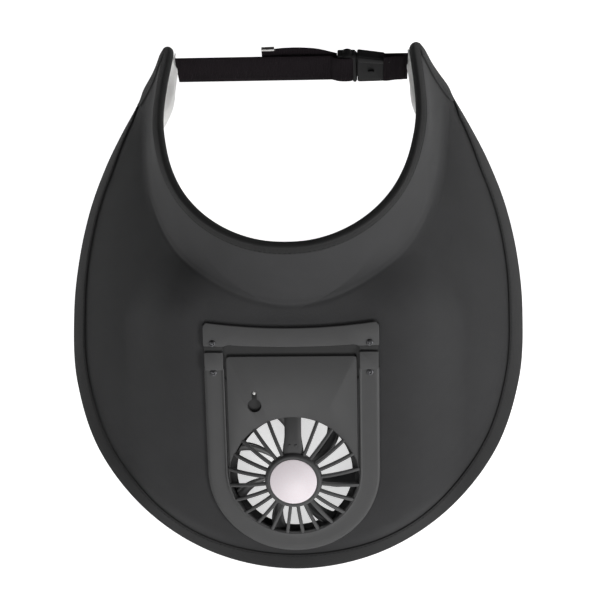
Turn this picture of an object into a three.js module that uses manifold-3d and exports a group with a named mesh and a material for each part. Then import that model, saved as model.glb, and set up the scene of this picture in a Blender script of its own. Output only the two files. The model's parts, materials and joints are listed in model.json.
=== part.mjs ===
// An open-top sun visor with a fan set into the front of its brim, in millimetres.
// +X is the wearer's left, on the right when seen from the front.
// -Y is the front of the brim, +Z is up.
// The visor rests on the edge of its brim, and its origin is the bottom centre of its box.

import * as THREE from "three";
import { mergeVertices } from "three/addons/utils/BufferGeometryUtils.js";
import Module from "manifold-3d";

const wasm = await Module();
wasm.setup();

// Driving sizes of the cloth sheet
const SHEET_THICKNESS = 2.5;
const BRIM_HALF_WIDTH = 150.2;
const BRIM_LENGTH = 317.1; // front edge to rear corner, in plan
const BRIM_DEPTH = 160.6; // front edge to crease on the centre line, in plan
const CREASE_HALF_WIDTH = 100.8;
const CREASE_LENGTH = 154.4; // front to rear end, in plan
const CREASE_HEIGHT = 78; // crease above the brim's edge on the centre line
const CREASE_SOFTNESS = 12; // length of each leg of the rounded crease
const SOFT_SHARE = 0.45; // largest share of brim or band that the rounded crease takes
const CREASE_DROOP = 1.3; // power of the crease's fall towards the rear
const CROWN_HALF_WIDTH = 81.5;
const CROWN_LENGTH = 146;
const BAND_SETBACK = 27.6; // how far the band's top edge lies behind the crease
const BAND_RISE = 49.4; // band's height, measured straight up between the two tilted edges
const LEAN = THREE.MathUtils.degToRad(18); // how far crease and opening tilt down to the rear
const REAR_LIFT = 14; // rear corners above the floor
const BRIM_BOW = 0.045; // how far the side brim bows above a straight line, as a share of its run
const BAND_CURL = 2.4; // how far the band curls out below its top edge, at the sides and wings
const CURL_POWER = 5; // power of the curl's growth up the band
const REAR_CORNER_RADIUS = 12;
const TIP_RADIUS = 6;
const MODULE_NEAR = 3; // the brim is flat up to this distance from the module
const MODULE_FAR = 34; // and takes its own shape beyond this one
const EDGE_SHARE = 0.075; // share of the brim at its edge that keeps its own shape

// Shares of the way round, from the front centre, over which shapes fade in
const LIFT_RANGE = [0.58, 0.97];
const BOW_RANGE = [0.12, 0.45];
const CURL_RANGE = [0.45, 0.8];
const PAD_RANGE = [0.78, 0.93];
const RISE_RANGE = [0.93, 0.98];
const NARROW_RANGE = [0.78, 0.92];

// Tape, lining and strap
const FIT_GAP = 0.3; // running gap between neighbouring pieces
const TAPE_GAP = 0.65; // the tape's standing gap, which its straight facets need on a curved sheet
const TAPE_THICKNESS = 0.8;
const BRIM_TAPE_WIDTH = 8;
const CROWN_TAPE_WIDTH = 5.8;
const LINING_THICKNESS = 1;
const LINING_PAD = 10; // how far the strap pulls the lining off the wings
const WEBBING_WIDTH = 25;
const WEBBING_THICKNESS = 1.6;
const STRAP_SETBACK = 13; // strap's middle in front of the band's rear end, in plan
const STRAP_DROP = 10.7; // strap's middle below the band's rear end
const BUCKLE_WIDTH = 31;
const BUCKLE_THICKNESS = 6.5;
const BUCKLE_RAISE = 2; // buckle's middle above the strap's middle
const BUCKLE_CORNER = 2;
const SLOT_INSET = 3;
const SLOT_CORNER = 0.8;
const EYE_LENGTH = 4.2;
const EYE_HEIGHT = 2;
const SLIDER_LENGTH = 12.5;
const BUCKLE_BODY_LENGTH = 17.8;
const BUCKLE_OFFSET = 36.4; // centre line of the visor to the middle of the slider half
const TAIL_LENGTH = 49;
const TAIL_RISE = 5; // how far the loose tail stands above the strap
const TAIL_LIFT = 1; // how far it stands off the strap
const TAIL_TIP_LENGTH = 8.6;
const TAIL_TIP_HEIGHT = 1.6;
const TAIL_TIP_DEPTH = 2.2;

// Fan module, in a frame with its origin at the fan's centre on the cloth's middle surface,
// +x across, +y up the slope of the brim and +z out of it
const BRIM_RUN = Math.hypot(BRIM_DEPTH, CREASE_HEIGHT); // brim's edge to crease, on the slope
const FRAME_HALF_WIDTH = 55.2;
const FRAME_ARC_LIFT = 3.9; // centre of the frame's round end above the fan's centre
const FRAME_EDGE_MARGIN = 12.34; // frame's round end to the brim's edge
const FAN_CENTRE_DOWN = BRIM_RUN - FRAME_EDGE_MARGIN - FRAME_HALF_WIDTH + FRAME_ARC_LIFT;
const FRAME_THICKNESS = 2;
const FLANGE_WIDTH = 11.9; // frame's edge to its window
const WINDOW_HALF_WIDTH = FRAME_HALF_WIDTH - FLANGE_WIDTH;
const SHELL_CLEARANCE = 2.2; // between the housing and the cut in the cloth
const PLATE_CREASE_MARGIN = 11; // crease to the top plate's upper corners
const PLATE_TOP = FAN_CENTRE_DOWN - PLATE_CREASE_MARGIN;
const PLATE_TOP_DIP = 4.2; // how far its upper edge dips in the middle
const PLATE_BOTTOM = PLATE_TOP - 15.5; // middle of the plate's lower edge, over the recess
const PLATE_ARM_END = PLATE_TOP - 19.3; // lower end of the arms beside the recess
const PLATE_THICKNESS = 2.2;
const PLATE_CORNER = 4;
const PLATE_EDGE_SAG = 2; // how far the plate's lower edge bows
const FRAME_TOP = PLATE_TOP - 30.6; // upper end of the frame's arms
const LUG_LENGTH = 11;
const LUG_RISE = 1.2;
const LUG_INNER_INSET = 0.4;
const LUG_OUTER_INSET = 0.6;
const HOUSING_TOP = PLATE_TOP - 23.5; // straight upper edge of the housing's panel
const HOUSING_LEVEL = 2.6; // housing's rim above the cloth's middle
const PANEL_RISE = 0.8;
const PANEL_INSET = 1.7;
const DUCT_DEPTH = 8; // duct's lower end below the cloth's middle
const BATTERY_DEPTH = 13;
const BATTERY_INSET = 1;
const BATTERY_MARGIN = 2; // duct to battery space
const RECESS_LENGTH = 9;
const RECESS_LEVEL = -0.5;
const DUCT_MARGIN = 2.7; // window's side to the duct
const DUCT_RADIUS = WINDOW_HALF_WIDTH - DUCT_MARGIN;
const KEYHOLE_ACROSS = -24;
const KEYHOLE_SHARE = 0.389; // keyhole's middle, as a share of the way from the duct to the panel's top
const KEYHOLE_RADIUS = 4.4;
const KEYHOLE_SLOT = 3.3;
const KEYHOLE_LENGTH = 9.7; // circle's centre to the slot's end
const KEYHOLE_DEPTH = 5;
const SCREW_HEAD_RADIUS = 2.1;
const SCREW_HEAD_HEIGHT = 0.9;
const SCREW_HEAD_TAPER = 0.75; // top of the head as a share of its radius
const SCREW_SHANK_RADIUS = 1.1;
const SCREW_EDGE_MARGIN = 5.9; // frame's edge to the middle of each screw
const SCREW_ACROSS = FRAME_HALF_WIDTH - SCREW_EDGE_MARGIN;
const PLATE_SCREW_UP = PLATE_TOP - 13.9;
const FRAME_SCREW_UP = FRAME_TOP - 2.7;

// Grille and rotor
const SPOKES = 22;
const SPOKE_PITCH = THREE.MathUtils.degToRad(15);
const SPOKE_WIDTH = 1.9;
const SPOKE_DEPTH = 2.2;
const STRUT_WIDTH = 11;
const STRUT_DROP = 1;
const GRILLE_RIM = 1.5;
const SPOKE_BEND = 11; // hub's edge to the bend in each spoke
const SPOKE_FOOT = 1; // how far a spoke's outer end reaches down into the rim
const GRILLE_DOME = 5.6; // rise of the spokes from the rim to the hub
const HUB_RADIUS = 18.4;
const HUB_TAPER = 1.2;
const HUB_HEIGHT = 4;
const LABEL_RADIUS = 14.9;
const LABEL_THICKNESS = 0.6;
const LABEL_POCKET = 0.4;
const MOTOR_RADIUS = 12;
const MOTOR_END = -1.5;
const SHAFT_RADIUS = 1.5;
const SHAFT_ENGAGED = 4.5;
const BLADES = 7;
const BLADE_START = THREE.MathUtils.degToRad(2.3);
const BLADE_SWEEP = THREE.MathUtils.degToRad(17);
const BLADE_LAG = 0.22; // how far a blade's tip lags behind its root, in radians
const BLADE_THICKNESS = 1.2;
const BLADE_TIP_GAP = 1.7;
const ROTOR_HUB_RADIUS = 14;
const ROTOR_HEIGHT = 5.5;

// Plan outlines as shares, one row for each equal step from the front centre to the rear end.
// Columns: across, as a share of the half width; back, as a share of the length.
const BRIM_ROWS = [
  [0, 0],
  [0.348, 0.031],
  [0.648, 0.116],
  [0.866, 0.241],
  [0.976, 0.388],
  [1, 0.53],
  [0.984, 0.651],
  [0.938, 0.756],
  [0.866, 0.847],
  [0.782, 0.926],
  [0.695, 1],
];
const CREASE_ROWS = [
  [0, 0],
  [0.188, 0.015],
  [0.366, 0.056],
  [0.527, 0.119],
  [0.668, 0.201],
  [0.778, 0.302],
  [0.858, 0.414],
  [0.917, 0.536],
  [0.953, 0.669],
  [0.972, 0.815],
  [1, 1],
];
const CROWN_ROWS = [
  [0, 0],
  [0.18, 0.007],
  [0.357, 0.034],
  [0.526, 0.082],
  [0.679, 0.151],
  [0.807, 0.24],
  [0.901, 0.348],
  [0.962, 0.471],
  [0.998, 0.609],
  [0.992, 0.775],
  [0.955, 1],
];

// Colours, roughness and metalness of each finish
const FINISH = {
  cloth: { color: 0x3f3f41, roughness: 0.9, metalness: 0 },
  tape: { color: 0x2a2a2b, roughness: 0.85, metalness: 0 },
  lining: { color: 0xe8e6e2, roughness: 0.85, metalness: 0 },
  webbing: { color: 0x1b191a, roughness: 0.9, metalness: 0 },
  plastic: { color: 0x4c4c4d, roughness: 0.55, metalness: 0 },
  buckle: { color: 0x2c2c2e, roughness: 0.5, metalness: 0 },
  blade: { color: 0x202021, roughness: 0.45, metalness: 0 },
  metal: { color: 0xbdbdbf, roughness: 0.35, metalness: 1 },
  label: { color: 0xefe6ea, roughness: 0.6, metalness: 0 },
  lamp: { color: 0xf4f4f2, roughness: 0.4, metalness: 0 },
};

const model = new THREE.Group();

function addPiece(parent, name, finish, geometry) {
  const mesh = new THREE.Mesh(geometry, new THREE.MeshStandardMaterial(FINISH[finish]));
  mesh.name = name;
  parent.add(mesh);
  return mesh;
}

// General solids

// A closed body between two grids of points that share their numbering.
function closedGrid(ni, nj, upper, lower) {
  const positions = [];
  for (const side of [upper, lower]) {
    for (let i = 0; i < ni; i += 1) {
      for (let j = 0; j < nj; j += 1) {
        positions.push(...side(i, j).toArray());
      }
    }
  }
  const index = [];
  const at = (i, j, side) => side * ni * nj + i * nj + j;
  const quad = (a, b, c, d) => index.push(a, b, c, a, c, d);
  for (let i = 0; i < ni - 1; i += 1) {
    for (let j = 0; j < nj - 1; j += 1) {
      quad(at(i, j, 0), at(i + 1, j, 0), at(i + 1, j + 1, 0), at(i, j + 1, 0));
      quad(at(i, j, 1), at(i, j + 1, 1), at(i + 1, j + 1, 1), at(i + 1, j, 1));
    }
    quad(at(i, 0, 0), at(i, 0, 1), at(i + 1, 0, 1), at(i + 1, 0, 0));
    quad(at(i, nj - 1, 0), at(i + 1, nj - 1, 0), at(i + 1, nj - 1, 1), at(i, nj - 1, 1));
  }
  for (let j = 0; j < nj - 1; j += 1) {
    quad(at(0, j, 0), at(0, j + 1, 0), at(0, j + 1, 1), at(0, j, 1));
    quad(at(ni - 1, j, 0), at(ni - 1, j, 1), at(ni - 1, j + 1, 1), at(ni - 1, j + 1, 0));
  }
  const geometry = new THREE.BufferGeometry();
  geometry.setAttribute("position", new THREE.Float32BufferAttribute(positions, 3));
  geometry.setIndex(signedVolume(positions, index) < 0 ? index.reverse() : index);
  return geometry;
}

function signedVolume(positions, index) {
  const point = (k) => new THREE.Vector3().fromArray(positions, 3 * index[k]);
  let volume = 0;
  for (let k = 0; k < index.length; k += 3) {
    volume += point(k).dot(point(k + 1).cross(point(k + 2))) / 6;
  }
  return volume;
}

function toSolid(geometry) {
  const bare = geometry.clone();
  bare.deleteAttribute("normal");
  bare.deleteAttribute("uv");
  const merged = mergeVertices(bare, 1e-4);
  return new wasm.Manifold(new wasm.Mesh({
    numProp: 3,
    vertProperties: new Float32Array(merged.attributes.position.array),
    triVerts: new Uint32Array(merged.index.array),
  }));
}

function toGeometry(solid) {
  const mesh = solid.getMesh();
  const geometry = new THREE.BufferGeometry();
  geometry.setAttribute("position", new THREE.BufferAttribute(mesh.vertProperties, 3));
  geometry.setIndex(new THREE.BufferAttribute(mesh.triVerts, 1));
  return geometry;
}

function extruded(shape, low, high, curveSegments = 12) {
  const settings = { depth: high - low, bevelEnabled: false, curveSegments };
  return new THREE.ExtrudeGeometry(shape, settings).translate(0, 0, low);
}

function box(x0, x1, y0, y1, z0, z1) {
  return new THREE.BoxGeometry(x1 - x0, y1 - y0, z1 - z0)
    .translate((x0 + x1) / 2, (y0 + y1) / 2, (z0 + z1) / 2);
}

// A solid of revolution about the fan's axis from [radius, height] corners on the axis or closed.
function turned(corners, segments) {
  const profile = corners.map(([radius, height]) => new THREE.Vector2(radius, height));
  return new THREE.LatheGeometry(profile, segments).rotateX(Math.PI / 2);
}

function pin(radius, low, high, segments, x = 0, y = 0) {
  const corners = [[0, low], [radius, low], [radius, high], [0, high]];
  return turned(corners, segments).translate(x, y, 0);
}

// The cloth sheet's middle surface

const BRIM_SLOPE = Math.atan2(CREASE_HEIGHT, BRIM_DEPTH);
const FALL = CREASE_LENGTH * Math.tan(LEAN);

function outline(rows, halfWidth, frontY, length) {
  const right = rows.map(([across, back]) => new THREE.Vector2(halfWidth * across, frontY + length * back));
  const left = right.slice(1).reverse().map((point) => new THREE.Vector2(-point.x, point.y));
  return new THREE.SplineCurve([...left, ...right]);
}

const brimOutline = outline(BRIM_ROWS, BRIM_HALF_WIDTH, -BRIM_DEPTH, BRIM_LENGTH);
const creaseOutline = outline(CREASE_ROWS, CREASE_HALF_WIDTH, 0, CREASE_LENGTH);
const crownOutline = outline(CROWN_ROWS, CROWN_HALF_WIDTH, BAND_SETBACK, CROWN_LENGTH);

function fade(around, [from, to]) {
  return THREE.MathUtils.smoothstep(Math.abs(around), from, to);
}

// The brim's edge, the crease and the band's top edge at a share of the way round, from -1 to 1.
function threeEdges(around) {
  const t = (around + 1) / 2;
  const brim = brimOutline.getPoint(t);
  const crease = creaseOutline.getPoint(t);
  const crown = crownOutline.getPoint(t);
  const lift = REAR_LIFT * fade(around, LIFT_RANGE);
  const creaseZ = CREASE_HEIGHT - FALL * Math.max(crease.y / CREASE_LENGTH, 0) ** CREASE_DROOP;
  const crownZ = creaseZ + BAND_RISE - Math.tan(LEAN) * (crown.y - crease.y);
  return {
    brim: new THREE.Vector3(brim.x, brim.y, lift),
    crease: new THREE.Vector3(crease.x, crease.y, creaseZ),
    crown: new THREE.Vector3(crown.x, crown.y, crownZ),
  };
}

// Makes the curl's largest value one.
const CURL_SCALE = (CURL_POWER + 1) ** (CURL_POWER + 1) / CURL_POWER ** CURL_POWER;

// Distance from the outline of the fan module, zero inside it.
function moduleDistance(x, y) {
  const down = -y / Math.cos(BRIM_SLOPE);
  const roundFrom = FAN_CENTRE_DOWN - FRAME_ARC_LIFT;
  if (down > roundFrom) {
    return Math.max(Math.hypot(x, down - roundFrom) - FRAME_HALF_WIDTH, 0);
  }
  const across = Math.max(Math.abs(x) - FRAME_HALF_WIDTH, 0);
  return Math.hypot(across, Math.max(FAN_CENTRE_DOWN - PLATE_TOP - down, 0));
}

// The middle surface. across runs from 0 at the brim's edge over 1 and 2, the two ends of the
// rounded crease, to 3 at the band's top edge. The brim rises to the flat module beside it.
function sheet(around, across) {
  const { brim, crease, crown } = threeEdges(around);
  const brimRun = brim.clone().sub(crease);
  const bandRun = crown.clone().sub(crease);
  const shorter = Math.min(brimRun.length(), bandRun.length());
  const soft = Math.min(CREASE_SOFTNESS, SOFT_SHARE * shorter);
  const softBrim = soft / brimRun.length();
  const softBand = soft / bandRun.length();
  let brimShare = 0;
  let bandShare = 0;
  if (across <= 1) {
    brimShare = 1 - across * (1 - softBrim);
  } else if (across <= 2) {
    brimShare = softBrim * (2 - across) ** 2;
    bandShare = softBand * (across - 1) ** 2;
  } else {
    bandShare = softBand + (across - 2) * (1 - softBand);
  }
  const point = crease.clone().addScaledVector(brimRun, brimShare).addScaledVector(bandRun, bandShare);
  const along = brimRun.clone().normalize();
  const rise = new THREE.Vector3(0, 0, 1).addScaledVector(along, -along.z).normalize();
  const arch = BRIM_BOW * brimRun.length() * fade(around, BOW_RANGE);
  point.addScaledVector(rise, arch * 4 * brimShare * (1 - brimShare));
  const curl = BAND_CURL * fade(around, CURL_RANGE) * CURL_SCALE;
  point.x += Math.sign(around) * curl * bandShare ** CURL_POWER * (1 - bandShare);
  const below = CREASE_HEIGHT + point.y * Math.tan(BRIM_SLOPE) - point.z;
  const near = 1 - THREE.MathUtils.smoothstep(moduleDistance(point.x, point.y), MODULE_NEAR, MODULE_FAR);
  const offEdge = Math.min((1 - brimShare) / EDGE_SHARE, 1);
  point.z += Math.max(below, 0) * near * offEdge;
  return point;
}

// The sheet's two directions and its outward normal at a place.
function sheetFrame(around, across) {
  const step = 1e-3;
  const a0 = Math.max(around - step, -1);
  const a1 = Math.min(around + step, 1);
  const c0 = Math.max(across - step, 0);
  const c1 = Math.min(across + step, 3);
  const byAround = sheet(a1, across).sub(sheet(a0, across)).divideScalar(a1 - a0);
  const byAcross = sheet(around, c1).sub(sheet(around, c0)).divideScalar(c1 - c0);
  const normal = byAround.clone().cross(byAcross).normalize();
  return { byAround, byAcross, normal };
}

// A point that stands a distance off the middle surface, outwards if positive.
function offSheet(around, across, distance) {
  return sheet(around, across).addScaledVector(sheetFrame(around, across).normal, distance);
}

// The sheet's rounded corners: the largest share round at a place across it.
function roundLimit(across) {
  const { brim, crease, crown } = threeEdges(1);
  const brimLength = brim.distanceTo(crease);
  const bandLength = crown.distanceTo(crease);
  const brimCurve = brimOutline.getLength() / 2;
  const crownCurve = crownOutline.getLength() / 2;
  const fromBrim = across * (1 - SOFT_SHARE) * brimLength;
  const fromCrown = (3 - across) * (bandLength - SOFT_SHARE * brimLength);
  const rearRadius = Math.min(REAR_CORNER_RADIUS, 2 * (1 - SOFT_SHARE) * brimLength);
  let cut = 0;
  if (fromBrim < rearRadius) {
    const rest = rearRadius - fromBrim;
    cut = (rearRadius - Math.sqrt(rearRadius ** 2 - rest ** 2)) / brimCurve;
  }
  if (fromCrown < TIP_RADIUS) {
    const rest = TIP_RADIUS - fromCrown;
    cut = (TIP_RADIUS - Math.sqrt(TIP_RADIUS ** 2 - rest ** 2)) / crownCurve;
  }
  return 1 - cut;
}

// Places across the sheet where a row of facets runs, closer together at its rounded corners.
const ACROSS_ROWS = [
  0, 0.01, 0.035, 0.08, 0.26, 0.44, 0.62, 0.8, 1, 1.5, 2, 2.35, 2.6, 2.78, 2.93, 2.98, 3,
];
const AROUND_STEPS = 44;
const PLACES = Array.from({ length: AROUND_STEPS + 1 }, (_, i) => (2 * i) / AROUND_STEPS - 1);

function sheetPlace(i, j) {
  return [PLACES[i] * roundLimit(ACROSS_ROWS[j]), ACROSS_ROWS[j]];
}

// The module's frame of reference

const moduleGroup = new THREE.Group();
moduleGroup.position.set(
  0,
  -FAN_CENTRE_DOWN * Math.cos(BRIM_SLOPE),
  CREASE_HEIGHT - FAN_CENTRE_DOWN * Math.sin(BRIM_SLOPE),
);
moduleGroup.rotation.x = BRIM_SLOPE;
moduleGroup.updateMatrix();
model.add(moduleGroup);

// An outline with straight sides, a straight top and a round lower end.
function archShape(halfWidth, top, centreY) {
  const shape = new THREE.Shape();
  shape.moveTo(halfWidth, top);
  shape.lineTo(-halfWidth, top);
  shape.lineTo(-halfWidth, centreY);
  shape.absarc(0, centreY, halfWidth, Math.PI, 2 * Math.PI, false);
  shape.closePath();
  return shape;
}

// Cloth pieces

function makeShell() {
  const half = SHEET_THICKNESS / 2;
  const upper = (i, j) => offSheet(...sheetPlace(i, j), half);
  const lower = (i, j) => offSheet(...sheetPlace(i, j), -half);
  const sheetSolid = toSolid(closedGrid(PLACES.length, ACROSS_ROWS.length, upper, lower));
  const cutTop = HOUSING_TOP + RECESS_LENGTH + SHELL_CLEARANCE / 2;
  const cutShape = archShape(WINDOW_HALF_WIDTH + SHELL_CLEARANCE, cutTop, 0);
  const cut = extruded(cutShape, -BATTERY_DEPTH, BATTERY_DEPTH, 16);
  cut.applyMatrix4(moduleGroup.matrix);
  addPiece(model, "visor_shell", "cloth", toGeometry(sheetSolid.subtract(toSolid(cut))));
}

// The C-shaped tape that wraps the sheet's edge at one place. inward is the step into the sheet.
function tapeSection(around, across, tangent, width, inwardSign) {
  const { byAround, byAcross, normal } = sheetFrame(around, across);
  const inward = tangent.clone().cross(normal).multiplyScalar(inwardSign).normalize();
  const gram = [byAround.dot(byAround), byAround.dot(byAcross), byAcross.dot(byAcross)];
  const share = gram[0] * gram[2] - gram[1] ** 2;
  const onAround = inward.dot(byAround);
  const onAcross = inward.dot(byAcross);
  const stepAround = (onAround * gram[2] - onAcross * gram[1]) / share;
  const stepAcross = (onAcross * gram[0] - onAround * gram[1]) / share;
  const innerAround = THREE.MathUtils.clamp(around + stepAround * width, -1, 1);
  const innerAcross = THREE.MathUtils.clamp(across + stepAcross * width, 0, 3);
  const edge = sheet(around, across);
  const outer = SHEET_THICKNESS / 2 + TAPE_GAP + TAPE_THICKNESS;
  const inner = SHEET_THICKNESS / 2 + TAPE_GAP;
  const place = (out, height) => edge.clone().addScaledVector(inward, -out).addScaledVector(normal, height);
  return {
    outer: [
      offSheet(innerAround, innerAcross, outer),
      place(TAPE_GAP, outer),
      place(2 * TAPE_GAP + TAPE_THICKNESS, 0),
      place(TAPE_GAP, -outer),
      offSheet(innerAround, innerAcross, -outer),
    ],
    inner: [
      offSheet(innerAround, innerAcross, inner),
      place(TAPE_GAP, inner),
      place(2 * TAPE_GAP, 0),
      place(TAPE_GAP, -inner),
      offSheet(innerAround, innerAcross, -inner),
    ],
  };
}

// A tape along a list of places on the sheet's edge, each with its own width.
function makeTape(name, stations) {
  const points = stations.map(({ around, across }) => sheet(around, across));
  const sections = stations.map(({ around, across, width }, k) => {
    const before = points[Math.max(k - 1, 0)];
    const after = points[Math.min(k + 1, points.length - 1)];
    return tapeSection(around, across, after.clone().sub(before).normalize(), width, -1);
  });
  const columns = sections[0].outer.length;
  const outer = (i, j) => sections[i].outer[j];
  const inner = (i, j) => sections[i].inner[j];
  addPiece(model, name, "tape", closedGrid(sections.length, columns, outer, inner));
}

// The tapes meet at the wing tips, at this row of the sheet's facets.
const TIP_ROW = ACROSS_ROWS.length - 4;

function makeTapes() {
  const rearRows = ACROSS_ROWS.slice(1, TIP_ROW + 1);
  const side = (sign) => rearRows.map((across) => (
    { around: sign * roundLimit(across), across, width: CROWN_TAPE_WIDTH }
  ));
  const frontWidth = (place) => (
    THREE.MathUtils.lerp(BRIM_TAPE_WIDTH, CROWN_TAPE_WIDTH, fade(place, NARROW_RANGE))
  );
  const front = PLACES.map((place) => (
    { around: place * roundLimit(0), across: 0, width: frontWidth(place) }
  ));
  makeTape("brim_binding", [...side(-1).reverse(), ...front, ...side(1)]);
  const tipRows = ACROSS_ROWS.slice(TIP_ROW + 1, -1);
  const tip = (sign) => tipRows.map((across) => (
    { around: sign * roundLimit(across), across, width: CROWN_TAPE_WIDTH }
  ));
  const top = PLACES.map((place) => ({ around: place * roundLimit(3), across: 3, width: CROWN_TAPE_WIDTH }));
  makeTape("crown_binding", [...tip(1), ...top.reverse(), ...tip(-1).reverse()]);
}

// Rows of the lining: share of its height, and share of the distance that the strap pulls it.
const LINING_ROWS = [
  [0, 0.15],
  [0.3, 0.75],
  [0.6, 1],
  [0.85, 0.8],
  [1, 0.2],
];
const LINING_LOW = 1.9;
const LINING_REACH = 0.985; // share of the way round where the lining ends
const LINING_STEPS = 36;

// A point of the lining at a share of its reach and one of its rows, below its outer face.
function liningPoint(share, [height, pull], depth) {
  const around = LINING_REACH * share;
  const span = sheet(around, 2).distanceTo(sheet(around, 3));
  const underTape = CROWN_TAPE_WIDTH + 2 * TAPE_GAP + FIT_GAP;
  const top = 3 - THREE.MathUtils.lerp(underTape, FIT_GAP, fade(around, RISE_RANGE)) / span;
  const across = THREE.MathUtils.lerp(LINING_LOW, top, height);
  const pad = LINING_PAD * pull * fade(around, PAD_RANGE);
  return offSheet(around, across, -SHEET_THICKNESS / 2 - FIT_GAP - pad - depth);
}

function makeLining() {
  const face = (depth) => (i, j) => liningPoint((2 * i) / LINING_STEPS - 1, LINING_ROWS[j], depth);
  const solid = closedGrid(LINING_STEPS + 1, LINING_ROWS.length, face(0), face(LINING_THICKNESS));
  addPiece(model, "lining", "lining", solid);
}

// Strap

// The strap runs straight across between the lining's two ends, behind the head.
const wingEnd = threeEdges(1).crown;
const runY = wingEnd.y - STRAP_SETBACK;
const runZ = wingEnd.z - STRAP_DROP;
const strapEnd = Math.min(
  ...LINING_ROWS.map((row) => liningPoint(1, row, LINING_THICKNESS).x),
  ...LINING_ROWS.map((row) => liningPoint(1 - 2 / LINING_STEPS, row, LINING_THICKNESS).x),
) - FIT_GAP;
const strapUp = new THREE.Vector3(0, Math.sin(LEAN), Math.cos(LEAN));
const strapOut = new THREE.Vector3(0, Math.cos(LEAN), -Math.sin(LEAN));

function strapPoint(x, up = 0, out = 0) {
  return new THREE.Vector3(x, runY, runZ).addScaledVector(strapUp, up).addScaledVector(strapOut, out);
}

// A flat webbing whose two edges are smooth curves through lists of points.
function webbing(name, lowEdge, highEdge, steps, thickness = WEBBING_THICKNESS) {
  const low = new THREE.CatmullRomCurve3(lowEdge, false, "centripetal");
  const high = new THREE.CatmullRomCurve3(highEdge, false, "centripetal");
  const face = (side) => (i, j) => {
    const t = i / steps;
    const tangent = low.getTangent(t).add(high.getTangent(t));
    const width = high.getPoint(t).sub(low.getPoint(t));
    const normal = tangent.cross(width).normalize();
    return (j ? high : low).getPoint(t).addScaledVector(normal, (side * thickness) / 2);
  };
  addPiece(model, name, "webbing", closedGrid(steps + 1, 2, face(1), face(-1)));
}

const SLIDER_START = BUCKLE_OFFSET - SLIDER_LENGTH / 2;
const BUCKLE_START = BUCKLE_OFFSET + SLIDER_LENGTH / 2 + FIT_GAP;
const BUCKLE_END = BUCKLE_START + BUCKLE_BODY_LENGTH;

// Stations of the loose tail: share of its length, share of its rise, share of its lift.
const TAIL_ROWS = [
  [0, 0, 0],
  [0.3, 0.8, 1],
  [0.7, 1, 1],
  [1, 0.6, 0.4],
];
const TAIL_LAY = WEBBING_THICKNESS + FIT_GAP;
const TAIL_START = SLIDER_START - FIT_GAP;

function makeStraps() {
  const halfWidth = WEBBING_WIDTH / 2;
  const run = (stops, level) => stops.map((x) => strapPoint(x, level));
  const left = [-strapEnd, -strapEnd / 2, 0, SLIDER_START - FIT_GAP];
  webbing("strap_left", run(left, -halfWidth), run(left, halfWidth), 12);
  const right = [BUCKLE_END + FIT_GAP, (BUCKLE_END + strapEnd) / 2, strapEnd];
  webbing("strap_right", run(right, -halfWidth), run(right, halfWidth), 4);
  const tail = (level) => TAIL_ROWS.map(([along, rise, lift]) => (
    strapPoint(TAIL_START - TAIL_LENGTH * along, level + TAIL_RISE * rise, TAIL_LAY + TAIL_LIFT * lift)
  ));
  webbing("strap_tail", tail(-halfWidth), tail(halfWidth), 10);
}

// A block in the strap's own directions: along x, up the webbing and out of it.
function strapBlock(geometry) {
  const basis = new THREE.Matrix4().makeBasis(new THREE.Vector3(1, 0, 0), strapUp, strapOut.clone().negate());
  basis.setPosition(0, runY, runZ);
  return geometry.applyMatrix4(basis);
}

function roundedShape(x0, x1, y0, y1, radius) {
  const shape = new THREE.Shape();
  shape.moveTo(x0 + radius, y0);
  shape.lineTo(x1 - radius, y0);
  shape.absarc(x1 - radius, y0 + radius, radius, -Math.PI / 2, 0, false);
  shape.lineTo(x1, y1 - radius);
  shape.absarc(x1 - radius, y1 - radius, radius, 0, Math.PI / 2, false);
  shape.lineTo(x0 + radius, y1);
  shape.absarc(x0 + radius, y1 - radius, radius, Math.PI / 2, Math.PI, false);
  shape.lineTo(x0, y0 + radius);
  shape.absarc(x0 + radius, y0 + radius, radius, Math.PI, 1.5 * Math.PI, false);
  return shape;
}

function makeBuckle() {
  const low = BUCKLE_RAISE - BUCKLE_WIDTH / 2;
  const high = BUCKLE_RAISE + BUCKLE_WIDTH / 2;
  const depth = BUCKLE_THICKNESS / 2;
  const sliderEnd = SLIDER_START + SLIDER_LENGTH;
  const slider = roundedShape(SLIDER_START, sliderEnd, low, high, BUCKLE_CORNER);
  const slot = (from, to) => roundedShape(from, to, low + SLOT_INSET, high - SLOT_INSET, SLOT_CORNER);
  const bar = SLIDER_LENGTH / 5;
  slider.holes.push(slot(SLIDER_START + bar, SLIDER_START + 2 * bar));
  slider.holes.push(slot(SLIDER_START + 3 * bar, SLIDER_START + 4 * bar));
  addPiece(model, "buckle_slider", "buckle", strapBlock(extruded(slider, -depth, depth, 3)));
  const body = roundedShape(BUCKLE_START, BUCKLE_END, low, high, BUCKLE_CORNER);
  const eye = new THREE.Path();
  const eyeX = (BUCKLE_START + BUCKLE_END) / 2;
  eye.absellipse(eyeX, 0, EYE_LENGTH / 2, EYE_HEIGHT / 2, 0, 2 * Math.PI, true, 0);
  body.holes.push(eye);
  addPiece(model, "buckle_body", "buckle", strapBlock(extruded(body, -depth, depth, 4)));
  const [, rise, lift] = TAIL_ROWS[TAIL_ROWS.length - 1];
  const tipStart = TAIL_START - TAIL_LENGTH;
  const tipLow = WEBBING_WIDTH / 2 + TAIL_RISE * (rise + 0.25) + FIT_GAP;
  const out = TAIL_LAY + TAIL_LIFT * lift;
  const tip = box(
    tipStart, tipStart + TAIL_TIP_LENGTH, tipLow, tipLow + TAIL_TIP_HEIGHT,
    -out - TAIL_TIP_DEPTH / 2, -out + TAIL_TIP_DEPTH / 2,
  );
  addPiece(model, "tail_tip", "metal", strapBlock(tip));
}

// Fan module's fixed pieces

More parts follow.
